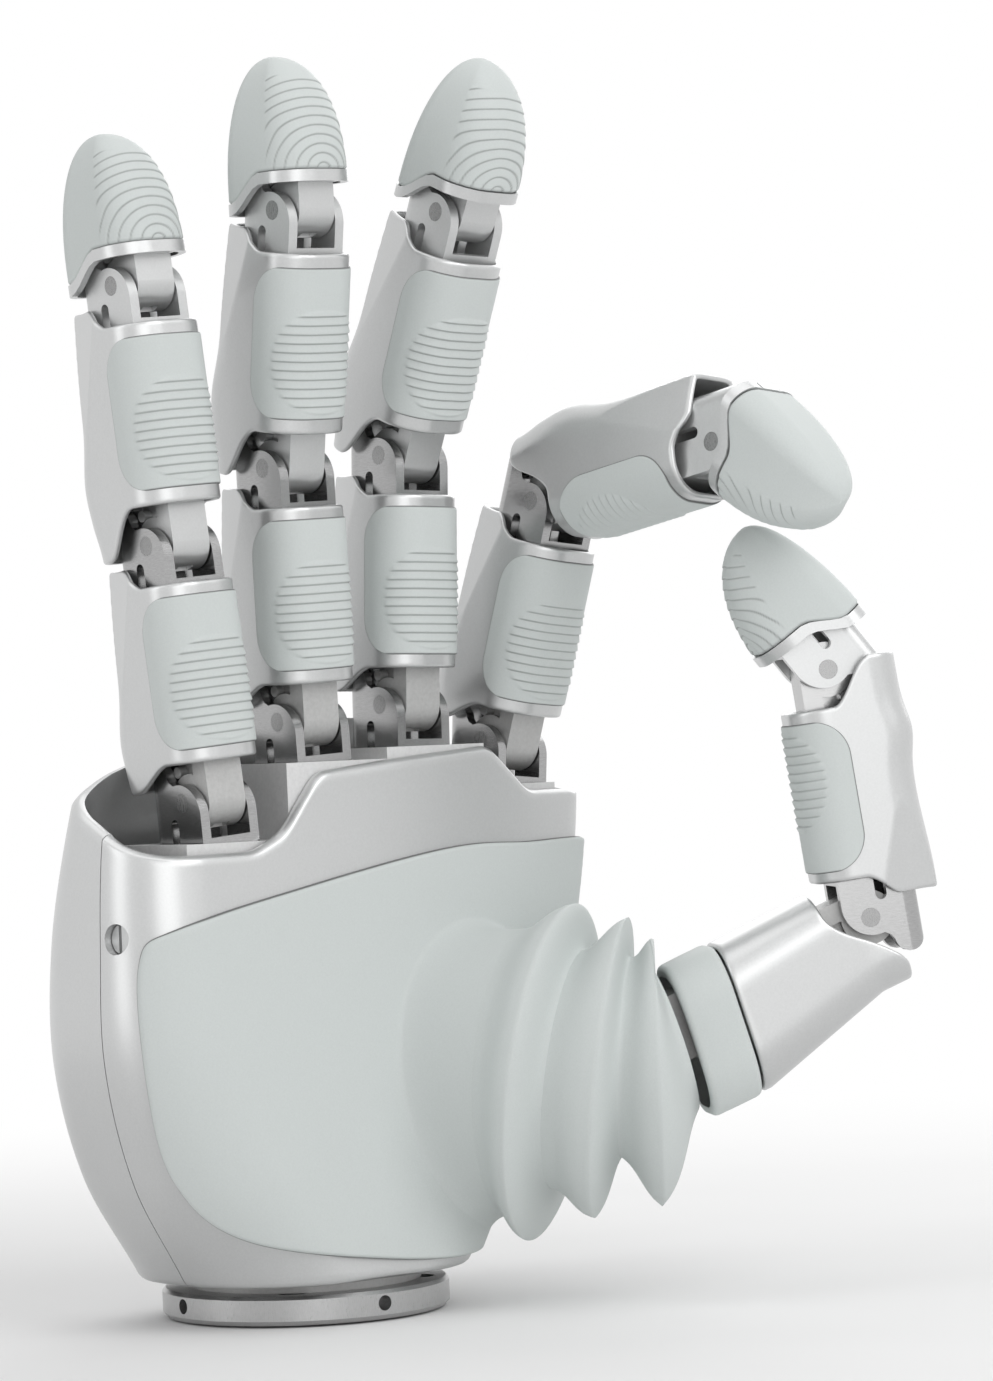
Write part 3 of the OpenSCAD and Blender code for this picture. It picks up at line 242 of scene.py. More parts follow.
# %% Wall of a link
# Half width, depth to the palm, depth to the back, corner radii front and back, wall
A, P, Q, RF, RB, WALL = 8.5, 7.9, 13.4, 6.5, 6.0, 1.1
FACET = np.array([0.940, 0.324, 0.103])  # the right-hand facet's normal
LOW_FRONT = 6.5  # rim over the near pin, on the palm side
TOP_FRONT, TOP_BACK = 7, 3.2  # how far the wall stops short of the far pin
BUMP_H, BUMP_Z, BUMP_W = 1.7, 11, 7  # the bump on the back


def low_rim(y, skirt):
    return mix(LOW_FRONT, skirt, smooth((y + 0.6) / 8.6))


def top_rim(y, length):
    return mix(length - TOP_FRONT, length - TOP_BACK, smooth(y / 6.8))


def back_y(z, length, slim):
    """Depth of the back at height z; the thumb's slim shell has a smaller bump"""
    if slim:
        swell = 1.1 * math.exp(-(((z - 12.5) / 4.5) ** 2))
        return Q - 1 + 0.8 * smooth((z - 22) / 16) + swell
    b = mix(Q + 0.6, Q, min(1, max(0, z / length)))
    swell = BUMP_H * math.exp(-(((z - BUMP_Z) / BUMP_W) ** 2))
    return b + swell - 0.9 * smooth((5 - z) / 7)


def facet_cut(p, off, length):
    """How far a point stands beyond the facet plane, and that plane's normal"""
    n = FACET * [math.copysign(1, p[0]), 1, 1]
    return float(n @ p) - (0.94 * A + 0.324 * 3 + 0.103 * (length - 5) - off), n


def wall_path(rows, way):
    """Once round a wall's profile: outside, round lip, inside, round lip. Each step is
    the share of the way up, the depth into the wall, and the lift; way is 1 when the
    rings rise and -1 when they fall"""
    e, lip = WALL / 2, [math.pi * i / 6 for i in range(1, 6)]
    path = [(i / rows, 0.0, e * (1 - 2 * i / rows)) for i in range(rows + 1)]
    path += [(1.0, e * (1 - math.cos(a)), -e * (1 - math.sin(a))) for a in lip]
    path += [(1 - i / 8, WALL, e * (1 - 2 * (1 - i / 8))) for i in range(9)]
    path += [(0.0, WALL - e * (1 - math.cos(a)), e * (1 - math.sin(a))) for a in lip]
    return [(t, off, way * dz) for t, off, dz in path]


def shell_rings(length, skirt, slim):
    """Rings of a link's wall, and which points lie on a facet"""
    count = {"corner": int(20 * FINE) + 4, "side": int(16 * FINE) + 3, "flat": 4}
    base = section(A, P, Q, RF, RB, **count)
    rims = [(low_rim(y, skirt), top_rim(y, length)) for _, y in base]
    rings, flags = [], []
    for t, off, dz in wall_path(int(84 * FINE) + 8, 1):
        ring = []
        for j, (lo, hi) in enumerate(rims):
            z = mix(lo, hi, t) + dz
            s = section(A - off, P - off, back_y(z, length, slim) - off,
                        RF - off, RB - off, **count)[j]
            p = np.array([s[0], s[1], z])
            v, n = facet_cut(p, off, length)
            ring.append(p - max(0.0, v) * n)
            flags.append(1 if v > 0 else 0)
        rings.append(ring)
    return rings, flags


def crease(obj, flags):
    """Sharp edges where the facet meets the rounded wall"""
    faces = {}
    mesh = obj.data
    on = [all(flags[i] for i in p.vertices) for p in mesh.polygons]
    for k, p in enumerate(mesh.polygons):
        for key in p.edge_keys:
            faces.setdefault(key, []).append(on[k])
    for edge in mesh.edges:
        sides = faces[tuple(sorted(edge.vertices))]
        if len(sides) == 2 and sides[0] != sides[1]:
            edge.use_edge_sharp = True


def end_for_end(m, length):
    """Frame at the far pin of a link, looking back along it; handedness flips"""
    r = m.copy()
    r[:3, 3] = m[:3, 3] + m[:3, 2] * length
    r[:3, 2] = -m[:3, 2]
    return r


print("steps round a shell's wall:", len(wall_path(int(84 * FINE) + 8, 1)))

# %% [markdown]
# ## Shells on their links
#
# The four fingers wear the same two castings, and the thumb one of its own, turned end
# for end. Links of one length share their rings, placed by each link's frame.

# %% Nine shells
shells = []
cache = {}


def add_shell(node, m, length, body, skirt, flip=False):
    key = (round(length, 2), skirt)
    if key not in cache:
        cache[key] = shell_rings(length, skirt, flip)
    rings, flags = cache[key]
    o = skin(node + "_smooth", rings, m, closed_stack=True, flip=flip)
    crease(o, flags)
    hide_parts(node)
    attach(o, body)
    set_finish(o, "shell_silver")
    shells.append(o)


for f in FINGERS:
    la, lb = links[f + "_len"]
    add_shell(f + "_shell_a", links[f + "_proximal"], la, f + "_proximal", 2.3)
    add_shell(f + "_shell_b", links[f + "_middle"], lb, f + "_middle", -2.0)
lt = links["thumb_len"]
add_shell("thumb_shell", end_for_end(links["thumb_proximal"], lt), lt, "thumb_proximal",
          -1.4, flip=True)
print("finger shells:", len(shells))

# %% [markdown]
# ## Grip pads
#
# Rubber pads wrapped over each link's palm face give the hand its hold. The ribs could
# be a bump in the paint, but they show in outline and catch the light, so they are
# modelled. A pad is a grid of rows up the link; each row's reach round the sides sets
# the rounded outline, and fine ribs rise inside an oval in the middle.

# %% Pads
# How far a pad stands out, its height, corner radius and reach up the side
PAD_PROUD, PAD_H, PAD_R, PAD_EDGE = 0.55, 26.2, 6.5, 1.0
# Ribs: spacing, how far their oval sits below the middle, its half sizes, height
RIB_PITCH, RIB_LOW, RIB_TALL, RIB_WIDE, RIB_H = 1.55, 3.1, 9.1, 9.7, 0.34


def pad_point(s, off):
    """Point on the palm-side outline, s measured round from the middle"""
    w, p, r = A, P, RF
    flat, quarter = w - r, r * math.pi / 2
    sign, d = (1 if s >= 0 else -1), abs(s)
    if d < flat:
        return sign * d, -p - off
    if d < flat + quarter:
        t = (d - flat) / r
        return sign * (flat + (r + off) * math.sin(t)), -p + r - (r + off) * math.cos(t)
    return sign * (w + off), -p + r + (d - flat - quarter)


def reach_to(y):
    """Distance round the outline at which it gets to y on the side"""
    w, p, r = A, P, RF
    if y > -p + r:
        return (w - r) + r * math.pi / 2 + (y + p - r)
    return (w - r) + r * math.acos(max(-1.0, min(1.0, (r - p - y) / r)))


def rib(z, s, mid):
    """Height of the ribs and weight of their painted shade lines: overlapping slats inside an
    oval zone
    """
    u = (abs(z - mid) / RIB_TALL) ** 2.2 + (abs(s) / RIB_WIDE) ** 2.2
    fade = smooth((1.03 - u) / 0.13)
    h, dark = slat((z - mid) / RIB_PITCH)
    return RIB_H * fade * (h - 0.25), dark * fade


def pad_rings(length):
    """Rows of a pad up its link, and the weight of the painted shade lines under the ribs and
    round the pad's edge
    """
    mid = (LOW_FRONT + length - TOP_FRONT) / 2 + 0.1
    rows, cols = int(190 * FINE) + 20, int(56 * FINE) + 20
    rings, lines = [], []
    for i in range(rows + 1):
        z = mid - PAD_H / 2 + PAD_H * i / rows
        dz = max(0.0, abs(z - mid) - (PAD_H / 2 - PAD_R))
        y = PAD_EDGE - (PAD_R - math.sqrt(max(0.0, PAD_R ** 2 - dz ** 2)))
        far = reach_to(y)
        row = []
        for k in range(cols + 1):
            u = -1 + 2 * k / cols
            u = math.copysign(1 - (1 - abs(u)) ** 1.25, u)
            s = far * u
            edge = min(far - abs(s), PAD_H / 2 - abs(z - mid))
            h = math.sqrt(max(0.0, 1 - (1 - min(1.0, edge / 0.55)) ** 2))
            up, dark = rib(z, s, mid - RIB_LOW)
            px, py = pad_point(s, mix(-0.1, PAD_PROUD - 0.2, h) + up)
            row.append((px, py, z))
            # Painted shade: under each rib, and a thin painted shadow line along the pad's edge
            lines.append(max(0.5 * dark, 0.9 * smooth((0.36 - edge) / 0.2)))
        rings.append(row)
    return rings, lines


pads = []
pad_cache = {}


def add_pad(node, m, length, body, flip=False):
    key = round(length, 2)
    if key not in pad_cache:
        pad_cache[key] = pad_rings(length)
    rings, lines = pad_cache[key]
    o = skin(node + "_soft", rings, m, closed_ring=False, flip=flip, lines=lines)
    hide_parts(node)
    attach(o, body)
    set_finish(o, "elastomer")
    pads.append(o)


for f in FINGERS:
    la, lb = links[f + "_len"]
    add_pad(f + "_pad_a", links[f + "_proximal"], la, f + "_proximal")
    add_pad(f + "_pad_b", links[f + "_middle"], lb, f + "_middle")
add_pad("thumb_pad", end_for_end(links["thumb_proximal"], lt), lt, "thumb_proximal",
        flip=True)
print("grip pads:", len(pads))

# %% [markdown]
# ## Fingertips
#
# Soft domes with raised prints, like skin: flat lines near the crown that turn into
# nested arches above the silver band. The prints could come from an image or a
# displacement map; a formula needs no picture and stays sharp, and real relief holds
# at every pose. The crown leans to the back, as a fingertip does.

# %% Prints on the fingertips
# Half width, depths to palm and back, corner radii, height of the band, lean of the crown
TA, TP, TQ, TRF, TRB, TBAND, TOP_LEAN = 8.3, 7.7, 12.2, 6.3, 5.0, 2.0, 3.4
# Spacing of the ridges, how far round and how high they reach, and their relief
PRINT_PITCH, PRINT_REACH, PRINT_TOP, PRINT_H = 1.62, 11.4, 16.8, 0.2


def tip_rim(y, front, back):
    return mix(front, back, smooth((y - 0.4) / 8.2))


def print_field(s, w):
    """Level lines of this field are the ridges of the fingertip: nested arches that
    flatten higher up; w is the height over the band"""
    return math.sqrt(mix(0.62, 0.42, smooth((w - 4) / 6)) * s * s + w * w)


def tip_rings(front, back, top):
    """Rings of a soft tip from its band to the crown, and the weights of its painted shade lines
    """
    base = section(TA, TP, TQ, TRF, TRB, corner=int(26 * FINE) + 8,
                   side=int(12 * FINE) + 6, flat=int(10 * FINE) + 4)
    n = len(base)
    step = [math.hypot(base[j][0] - base[j - 1][0], base[j][1] - base[j - 1][1])
            for j in range(n)]
    run = np.cumsum(step)
    total = run[-1]
    middle = run[min(range(n), key=lambda j: (base[j][1] > -TP + 0.01, abs(base[j][0])))]
    around = [((r - middle + total / 2) % total) - total / 2 for r in run]
    rows = int(150 * FINE) + 24
    rings, lines = [], []
    for i in range(rows + 1):
        t = i / rows
        t = 1 - (1 - t) ** 1.35
        ring = []
        for j in range(n):
            z0 = tip_rim(base[j][1], front, back) + TBAND + 0.12
            z = mix(z0, top, t)
            h = max(0.0, (z - 3) / (top - 3))
            s = math.sqrt(max(0.0, 1 - h ** 2.3))
            sx = math.sqrt(max(0.0, 1 - h ** 2.6))
            edge = smooth((z - z0) / 0.5)
            cy = 1.6 + TOP_LEAN * smooth(h * 0.9)
            px, py = base[j][0] * sx, cy + (base[j][1] - cy) * s
            w = z - front - TBAND
            zone = (smooth((PRINT_REACH + 0.3 - abs(around[j])) / 0.8)
                    * smooth((PRINT_TOP - w) / 0.5) * smooth((w + 0.5) / 0.6))
            rise, dark = slat((print_field(around[j], w) - 1.1) / PRINT_PITCH)
            up = PRINT_H * zone * (rise - 0.6) - 0.12 - 0.3 * (1 - edge)
            # Painted shade: under each print ridge, and a thin painted shadow line just above the
            # band
            lines.append(max(0.55 * zone * dark, 0.8 * smooth((0.22 - (z - z0)) / 0.2)))
            r = math.hypot(px, py - cy) + 1e-6
            ring.append((px * (1 + up / r), cy + (py - cy) * (1 + up / r),
                         z - 0.25 * h ** 6))
        rings.append(ring)
    return rings, lines


TIP_SIZES = (4.4, -0.3, 27.0)  # rim in front, rim behind, top
THUMB_SIZES = (7.0, 3.2, 28.0)
tips = []
tip_cache = {}
for f in FINGERS + ["thumb"]:
    key = THUMB_SIZES if f == "thumb" else TIP_SIZES
    if key not in tip_cache:
        tip_cache[key] = tip_rings(*key)
    rings, lines = tip_cache[key]
    o = skin(f + "_tip_soft", rings, links[f + "_distal"], cap=True, lines=lines)
    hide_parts(f + "_tip_skin")
    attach(o, f + "_distal")
    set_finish(o, "elastomer")
    tips.append(o)
print("fingertips:", len(tips))

# %% [markdown]
# ## Thumb metacarpal shell and cuff
#
# The thumb's root link wears a flared silver shell; a soft cuff fills the step
# between it and the bellows. A loft between two outlines would do; the same wall path
# as on the fingers keeps the lips alike. The shell's foot is cut at a slant, so each
# point's height there depends on how far back it lies.

# %% Metacarpal shell and cuff
CUFF_TILT = 6.8  # degrees
META_FOOT = -28.0  # where the shell ends, below the thumb's knuckle


def slant(y):
    """Lift of a slanted cut at depth y"""
    return -math.tan(math.radians(CUFF_TILT)) * (y - 6)


def meta_rim(y):
    return mix(-8.0, 2.6, smooth((y + 4.5) / 15))


META_TOP = (8.6, 7.9, 12.9, 6.2, 6)  # section's sizes under the rim
META_LOW = (11.1, 7.2, 19.2, 8, 8)  # and at the foot


def meta_section(z, off):
    u = min(1.0, max(0.0, (-z - 3) / 25))
    return section(*(mix(a, b, u) - off for a, b in zip(META_TOP, META_LOW)))


def meta_rings():
    """Rings of the root link's wall, falling from the rim to the slanted foot"""
    base = section(A, 7.7, 12.9, 6.2, 6.0)
    rings = []
    for t, off, dz in wall_path(30, -1):
        ring = []
        for j, (_, y) in enumerate(base):
            foot = meta_section(META_FOOT, off)[j][1]
            z = mix(meta_rim(y), META_FOOT + slant(foot), t) + dz
            px, py = meta_section(z, off)[j]
            ring.append((px, py, z))
        rings.append(ring)
    return rings


meta = links["thumb_metacarpal"]
o = skin("thumb_meta_smooth", meta_rings(), meta, closed_stack=True, flip=True)
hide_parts("thumb_meta_shell")
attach(o, "thumb_metacarpal")
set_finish(o, "shell_silver")
shells.append(o)

# Height and growth of each ring of the cuff: a band with rounded, tucked-in edges
CUFF_PROFILE = [(-37.8, -1.6), (-37.8, -0.7), (-37.65, -0.3), (-37.3, 0.0), (-36.7, 0.15),
                (-33, 0.2), (-29.6, 0.2), (-29.0, 0.12), (-28.6, -0.1), (-28.4, -0.5),
                (-28.3, -1.6)]
rings = []
for z, g in CUFF_PROFILE:
    band = section(11.2 + g, 7.3 + g, 19.3 + g, 8 + g * 0.4, 8 + g * 0.4)
    rings.append([(px, py, z + slant(py)) for px, py in band])
cuff = skin("thumb_cuff_soft", rings, meta)
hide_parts("thumb_cuff")
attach(cuff, "thumb_metacarpal")
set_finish(cuff, "elastomer")
print("thumb metacarpal dressed")

# %% [markdown]
# ## Palm shells
#
# The palm is a two-part case. Its form could be a sculpted cage; here it is a table of
# rounded sections, wide at the knuckles and round at the wrist, so one function places
# the case, the rubber over it and the holes.

# %% Sections of the palm
# Height, left, right, front, back, corner radius left and right
ROWS = np.array([
    [9, -29, 29, -24, 24, 20, 20], [25, -38, 38, -22, 24, 18, 16],
    [45, -43, 47, -19, 22.5, 15, 10], [65, -43, 53, -16.5, 20.5, 13, 6],
    [85, -41.5, 56.5, -15, 16, 12, 4], [105, -37, 57, -14.4, 12, 10, 4]], float)


def row_at(z):
    """Left, right, front, back and the two corner radii at height z"""
    i = min(4, max(0, int(np.searchsorted(ROWS[:, 0], z, side="right")) - 1))
    z0, d = ROWS[i, 0], ROWS[i + 1, 0] - ROWS[i, 0]
    t = (z - z0) / d

    def slope(k):
        a, b = max(0, k - 1), min(5, k + 1)
        return (ROWS[b, 1:] - ROWS[a, 1:]) / (ROWS[b, 0] - ROWS[a, 0])

    return ((2 * t ** 3 - 3 * t ** 2 + 1) * ROWS[i, 1:] + (t ** 3 - 2 * t ** 2 + t) * d * slope(i)
            + (3 * t ** 2 - 2 * t ** 3) * ROWS[i + 1, 1:] + (t ** 3 - t ** 2) * d * slope(i + 1))


def palm_pt(s, z, off):
    """Point on the palm side by distance s round the section from the middle"""
    xl, xr, yf, yb, rl, rr = row_at(z)
    fl, fr, q = xl + rl, xr - rr, math.pi / 2
    if s > fr:
        if s - fr < q * rr:
            a = (s - fr) / rr
            return (fr + (rr + off) * math.sin(a), yf + rr - (rr + off) * math.cos(a), z)
        return (xr + off, yf + rr + (s - fr - q * rr), z)
    if s < fl:
        if fl - s < q * rl:
            a = (fl - s) / rl
            return (fl - (rl + off) * math.sin(a), yf + rl - (rl + off) * math.cos(a), z)
        return (xl - off, yf + rl + (fl - s - q * rl), z)
    return (s, yf - off, z)


print("palm sections:", len(ROWS), "from", ROWS[0, 0], "to", ROWS[-1, 0], "mm")

# %% [markdown]
# ## The palm's upper rim
#
# The case is open at the top, where the fingers come out. Its rim steps up and down in
# front and swells at the back, so it is drawn as two lines of points, height against
# width, and blended from front to back; a boolean cut would leave a rougher edge.

# %% Rim lines
FRONT_RIM = np.array([[-41, 81.2], [-34, 80.3], [-18, 80.4], [-11.5, 83.4], [-4.2, 93.4],
                      [14, 95.2], [34.7, 96.7], [43.7, 88.4], [57, 88.3]])
BACK_RIM = np.array([[-41, 88.8], [-30, 94.5], [-12, 100], [2, 101.5], [24, 103],
                     [40, 99], [57, 91]])


def soft_line(line, x, r=1.6):
    """The rim line with its corners eased"""
    xs = [x + r * (k / 4) for k in range(-4, 5)]
    return float(np.mean([np.interp(v, line[:, 0], line[:, 1]) for v in xs]))


def rim_z(x, y):
    return mix(soft_line(FRONT_RIM, x), soft_line(BACK_RIM, x, 5), smooth((y + 13) / 25))


print("rim from", round(rim_z(-41, -15), 1), "to", round(rim_z(24, 15), 1), "mm")

# %% [markdown]
# ## Front and back halves
#
# Both halves come from the same sections, parted at a narrow seam down the sides. Each
# is a grid that climbs the outside, turns over a chamfered rim and goes down the
# inside, which gives a wall of even thickness without a solidify modifier.

# %% Half shells
# Depth of the seam, its width, the wall, and the lower edge
SEAM, SEAM_GAP, PALM_WALL, PALM_Z = -2.6, 0.2, 2.2, 6.8


def half_arc(w, off, front, n_side, n_arc, n_flat):
    """One half's outline at a section w, off millimetres inside it"""
    xl, xr, yf, yb, rl, rr = w
    pts = []
    if front:
        seam = SEAM - SEAM_GAP / 2
        for i in range(n_side):
            pts.append((xl + off, mix(seam, yf + rl, i / n_side)))
        for i in range(n_arc):
            a = math.pi / 2 * i / n_arc
            pts.append((xl + rl - (rl - off) * math.cos(a), yf + rl - (rl - off) * math.sin(a)))
        for i in range(n_flat):
            pts.append((mix(xl + rl, xr - rr, i / n_flat), yf + off))
        for i in range(n_arc):
            a = math.pi / 2 * i / n_arc
            pts.append((xr - rr + (rr - off) * math.sin(a), yf + rr - (rr - off) * math.cos(a)))
        for i in range(n_side + 1):
            pts.append((xr - off, mix(yf + rr, seam, i / n_side)))
    else:
        seam, r = SEAM + SEAM_GAP / 2, rl
        for i in range(n_side):
            pts.append((xr - off, mix(seam, yb - r, i / n_side)))
        for i in range(n_arc):
            a = math.pi / 2 * i / n_arc
            pts.append((xr - r + (r - off) * math.cos(a), yb - r + (r - off) * math.sin(a)))
        for i in range(n_flat):
            pts.append((mix(xr - r, xl + r, i / n_flat), yb - off))
        for i in range(n_arc):
            a = math.pi / 2 * i / n_arc
            pts.append((xl + r - (r - off) * math.sin(a), yb - r + (r - off) * math.cos(a)))
        for i in range(n_side + 1):
            pts.append((xl + off, mix(yb - r, seam, i / n_side)))
    return pts


def palm_grid(front):
    """Outside up, over the chamfered rim, and down the inside"""
    size = (6, 14, int(90 * FINE) + 30)
    top = half_arc(row_at(90), 0, front, *size)
    rims = [rim_z(x, y) for x, y in top]
    plan = [(0, 1.0, 0.0), (0, 0.5, 0.15), (0, 0.15, 0.5), (0, 0.0, 1.0)]
    steps = int(60 * FINE) + 12
    plan += [(i / steps, 0.0, 1.0 - 2.0 * i / steps) for i in range(1, steps + 1)]
    plan += [(1, 0.12, -0.72), (1, 0.3, -0.5), (1, 0.85, -0.12), (1, 1.05, -0.02), (1, 1.25, 0.0),
             (1, PALM_WALL - 0.35, 0.0), (1, PALM_WALL - 0.1, -0.1), (1, PALM_WALL, -0.35)]
    plan += [(1 - i / 12, PALM_WALL, -0.35 * (1 - i / 12)) for i in range(1, 13)]
    grid = []
    for t, off, dz in plan:
        row = []
        for j, z1 in enumerate(rims):
            z = mix(PALM_Z, z1, t) + dz
            px, py = half_arc(row_at(z), off, front, *size)[j]
            row.append((px, py, z))
        grid.append(row)
    return grid


palm_front = skin("palm_front_smooth", palm_grid(True), closed_stack=True, closed_ring=False)
palm_back = skin("palm_back_smooth", palm_grid(False), closed_stack=True, closed_ring=False)
print("palm halves:", len(palm_front.data.vertices), len(palm_back.data.vertices), "points")

# %% [markdown]
# ## Holes in the case
#
# Two screws hold the case at its sides and the thumb's root comes out of its front. A
# round hole can't follow a grid of rings, so these three are cut with a boolean, on
# meshes that are closed first, since a boolean needs to know inside from outside.

# %% Closed seams and drilled holes
CORNER = math.radians(47)  # edges sharper than this stay crisp


def closed(obj):
    """Fill the open seam walls and keep only true corners sharp"""
    bm = bmesh.new()
    bm.from_mesh(obj.data)
    bmesh.ops.holes_fill(bm, edges=[e for e in bm.edges if e.is_boundary])
    bm.to_mesh(obj.data)
    bm.free()
    obj.data.set_sharp_from_angle(angle=CORNER)


def cut_round(obj, centre, axis, radius, depth):
    """Drill a round hole through obj, centre in millimetres"""
    bm = bmesh.new()
    bmesh.ops.create_cone(bm, cap_ends=True, segments=72,
                          radius1=radius * MM, radius2=radius * MM, depth=depth * MM)
    mesh = bpy.data.meshes.new("drill")
    bm.to_mesh(mesh)
    bm.free()
    drill = bpy.data.objects.new("drill", mesh)
    turn = Vector((0, 0, 1)).rotation_difference(Vector(axis)).to_matrix().to_4x4()
    drill.matrix_world = Matrix.Translation(Vector(centre) * MM) @ turn
    bpy.context.scene.collection.objects.link(drill)
    mod = obj.modifiers.new("hole", "BOOLEAN")
    mod.operation, mod.solver, mod.object = "DIFFERENCE", "EXACT", drill
    bpy.context.view_layer.update()
    graph = bpy.context.evaluated_depsgraph_get()
    cut = bpy.data.meshes.new_from_object(obj.evaluated_get(graph))
    obj.modifiers.remove(mod)
    obj.data = cut
    bpy.data.objects.remove(drill)


closed(palm_front)
closed(palm_back)
SCREW_Y, SCREW_Z, SCREW_HOLE = -6.4, 66.8, 2.6
THUMB_HOLE = 14
for x_side in row_at(SCREW_Z)[:2]:
    cut_round(palm_front, (x_side, SCREW_Y, SCREW_Z), (1, 0, 0), SCREW_HOLE, 8)
root = pos("thumb_rotate")
cut_round(palm_front, (root[0] - 4, -18, root[2]), (0, 1, 0), THUMB_HOLE, 24)
palm_front.data.set_sharp_from_angle(angle=CORNER)
for o, node in ((palm_front, "palm_front_shell"), (palm_back, "palm_back_shell")):
    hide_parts(node)
    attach(o, "palm")
    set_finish(o, "shell_silver")
    shells.append(o)
print("palm shells:", len(shells), "shells in all")

# %% [markdown]
# ## Palm skin
#
# A moulded rubber skin covers the front of the palm and rises round the thumb's root to
# meet the bellows. A modifier could shrink it onto the case; built from the case's own
# sections it keeps an even gap by itself. It is a fan of rings: over the rounded edge,
# inward across the palm, then up the cone to the thumb opening.

# %% Skin of the palm
SKIN_GAP, SKIN_T = 0.7, 1.0  # clear of the case, and how thick
SKIN_MID = np.array([26, 39.5])  # centre of the cone's foot, and its two half sizes
FOOT = np.array([20, 27])
NEAR = np.array([18, 24.3])  # a smaller oval, which steers the cone's curve
EDGE_IN = 0.018  # how far the rounded edge reaches in, as a share
SKIN_LINE = np.array([[61, 62], [61.5, 78], [40, 79.4], [22, 79], [-9, 74], [-36, 68.3],
                      [-43.2, 62], [-43.5, 40], [-39.6, 25], [-27.5, 15.2], [0, 9.9], [22, 8.7],
                      [41, 10.4], [49, 20.5], [56, 42]], float)


def outline(per):
    """Smooth closed curve through the outline's points"""
    out, n = [], len(SKIN_LINE)
    for k in range(n):
        a, b, c, d = (SKIN_LINE[(k + i - 1) % n] for i in range(4))
        for i in range(per):
            t = i / per
            out.append(0.5 * (2 * b + (c - a) * t + (2 * a - 5 * b + 4 * c - d) * t * t
                              + (3 * b - a - 3 * c + d) * t ** 3))
    return out


# Valleys V and crests C of the bellows, from the palm outward: centre, turn of the
# axis, dip, half height, half width
V01 = (np.array([29.6, -25.5, 39.5]), -66, 5, 25.2, 20.0)
C1 = (np.array([32.2, -31.0, 39.5]), -60, 9.8, 29.6, 25.0)
V12 = (np.array([33.9, -33.2, 39.9]), -55, 9.4, 20.9, 18.4)
C2 = (np.array([38.6, -39.0, 40.0]), -50, 8.4, 26.2, 21.5)
V23 = (np.array([40.2, -41.0, 41.7]), -46, 4.4, 17.3, 15.8)
C3 = (np.array([43.7, -45.3, 38.9]), -42, 0.5, 23.1, 19.0)
tm = links["thumb_metacarpal"]
END = (tm[:3, 3] - 39.3 * tm[:3, 2] + 4.4 * tm[:3, 1], -33,
       -90 - THUMB_LEAN + CUFF_TILT, 13.2, 11.3)


def ring_pt(g, ang):
    """Point at an angle round one ring of the bellows"""
    az, dip = math.radians(g[1]), math.radians(g[2])
    e1 = np.array([-math.sin(az), math.cos(az), 0])
    ax = np.array([math.cos(az) * math.cos(dip), math.sin(az) * math.cos(dip), -math.sin(dip)])
    e2 = np.cross(ax, e1)
    return g[0] + e1 * g[4] * math.cos(ang) + e2 * g[3] * math.sin(ang)


def foot_angle(e):
    """Direction of outline point e from the cone, in the oval's own measure"""
    return math.atan2((e[1] - SKIN_MID[1]) / FOOT[1], (e[0] - SKIN_MID[0]) / FOOT[0])


def oval(a, half):
    """Point of an oval round the cone's centre"""
    return SKIN_MID + np.array([half[0] * math.cos(a), half[1] * math.sin(a)])


def cone_pt(e, t, off):
    """Point a share t of the way up the cone, on a curve from the palm to the fold"""
    a = foot_angle(e)
    foot, near = oval(a, FOOT), oval(a, NEAR)
    p0 = np.array(palm_pt(foot[0], foot[1], off))
    p2 = ring_pt(V01, a)
    p1 = mix(np.array(palm_pt(near[0], near[1], off)), p2, 0.22)
    return (1 - t) ** 2 * p0 + 2 * t * (1 - t) * p1 + t * t * p2


print("outline points:", len(SKIN_LINE))

# %% [markdown]
# ## Laying the skin
#
# The rings are now joined from the outside in. The first ones carry a painted shade line,
# the shadow in the gap where a rubber part meets its case.

# %% Rings of the skin
edge = outline(int(14 * FINE) + 4)
rings, lines = [], []
for k in range(7):
    a = math.pi / 2 * k / 6
    off = mix(0.15, SKIN_GAP + SKIN_T, math.sin(a))
    shrink = 1 - EDGE_IN * (1 - math.cos(a))
    rings.append([palm_pt(*(SKIN_MID + (e - SKIN_MID) * shrink), off) for e in edge])
    # Painted shade along the skin's edge, where it meets the case
    lines.append([0.9 if k < 3 else 0.0] * len(edge))
for t in np.linspace(0.965, 0, int(26 * FINE) + 10):
    ring = []
    for e in edge:
        rim = SKIN_MID + (e - SKIN_MID) * (1 - EDGE_IN)
        s = mix(oval(foot_angle(e), FOOT), rim, t / (1 - EDGE_IN))
        ring.append(palm_pt(s[0], s[1], SKIN_GAP + SKIN_T))
    rings.append(ring)
for t in np.linspace(0.06, 1, int(14 * FINE) + 8):
    rings.append([cone_pt(e, t, SKIN_GAP + SKIN_T) for e in edge])
lines += [[0.0] * len(edge)] * (len(rings) - len(lines))
palm_soft = skin("palm_skin_soft", rings, lines=lines)
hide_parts("palm_skin")
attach(palm_soft, "palm")
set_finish(palm_soft, "elastomer")
print("palm skin rings:", len(rings))

# %% [markdown]
# ## Bellows
#
# Three rubber folds close the gap between the palm skin and the cuff, and let the
# thumb swing. They could be simulated as cloth, but thick moulded rubber keeps its
# folds, so they are shaped directly. The rings between a valley and a crest ease in
# and out.

# %% Folds
def ring_mix(a, b, t):
    """Ring a share t of the way from ring a to ring b"""
    return tuple(mix(p, q, t) for p, q in zip(a, b))


def flank(a, b, steps):
    """Rings from a to b whose size eases in and out, for rounded folds"""
    out = []
    for i in range(steps + 1):
        t = i / steps
        s = t - 0.085 * math.sin(2 * math.pi * t)
        g = ring_mix(a, b, t)
        out.append((g[0], g[1], g[2], mix(a[3], b[3], s), mix(a[4], b[4], s)))
    return out


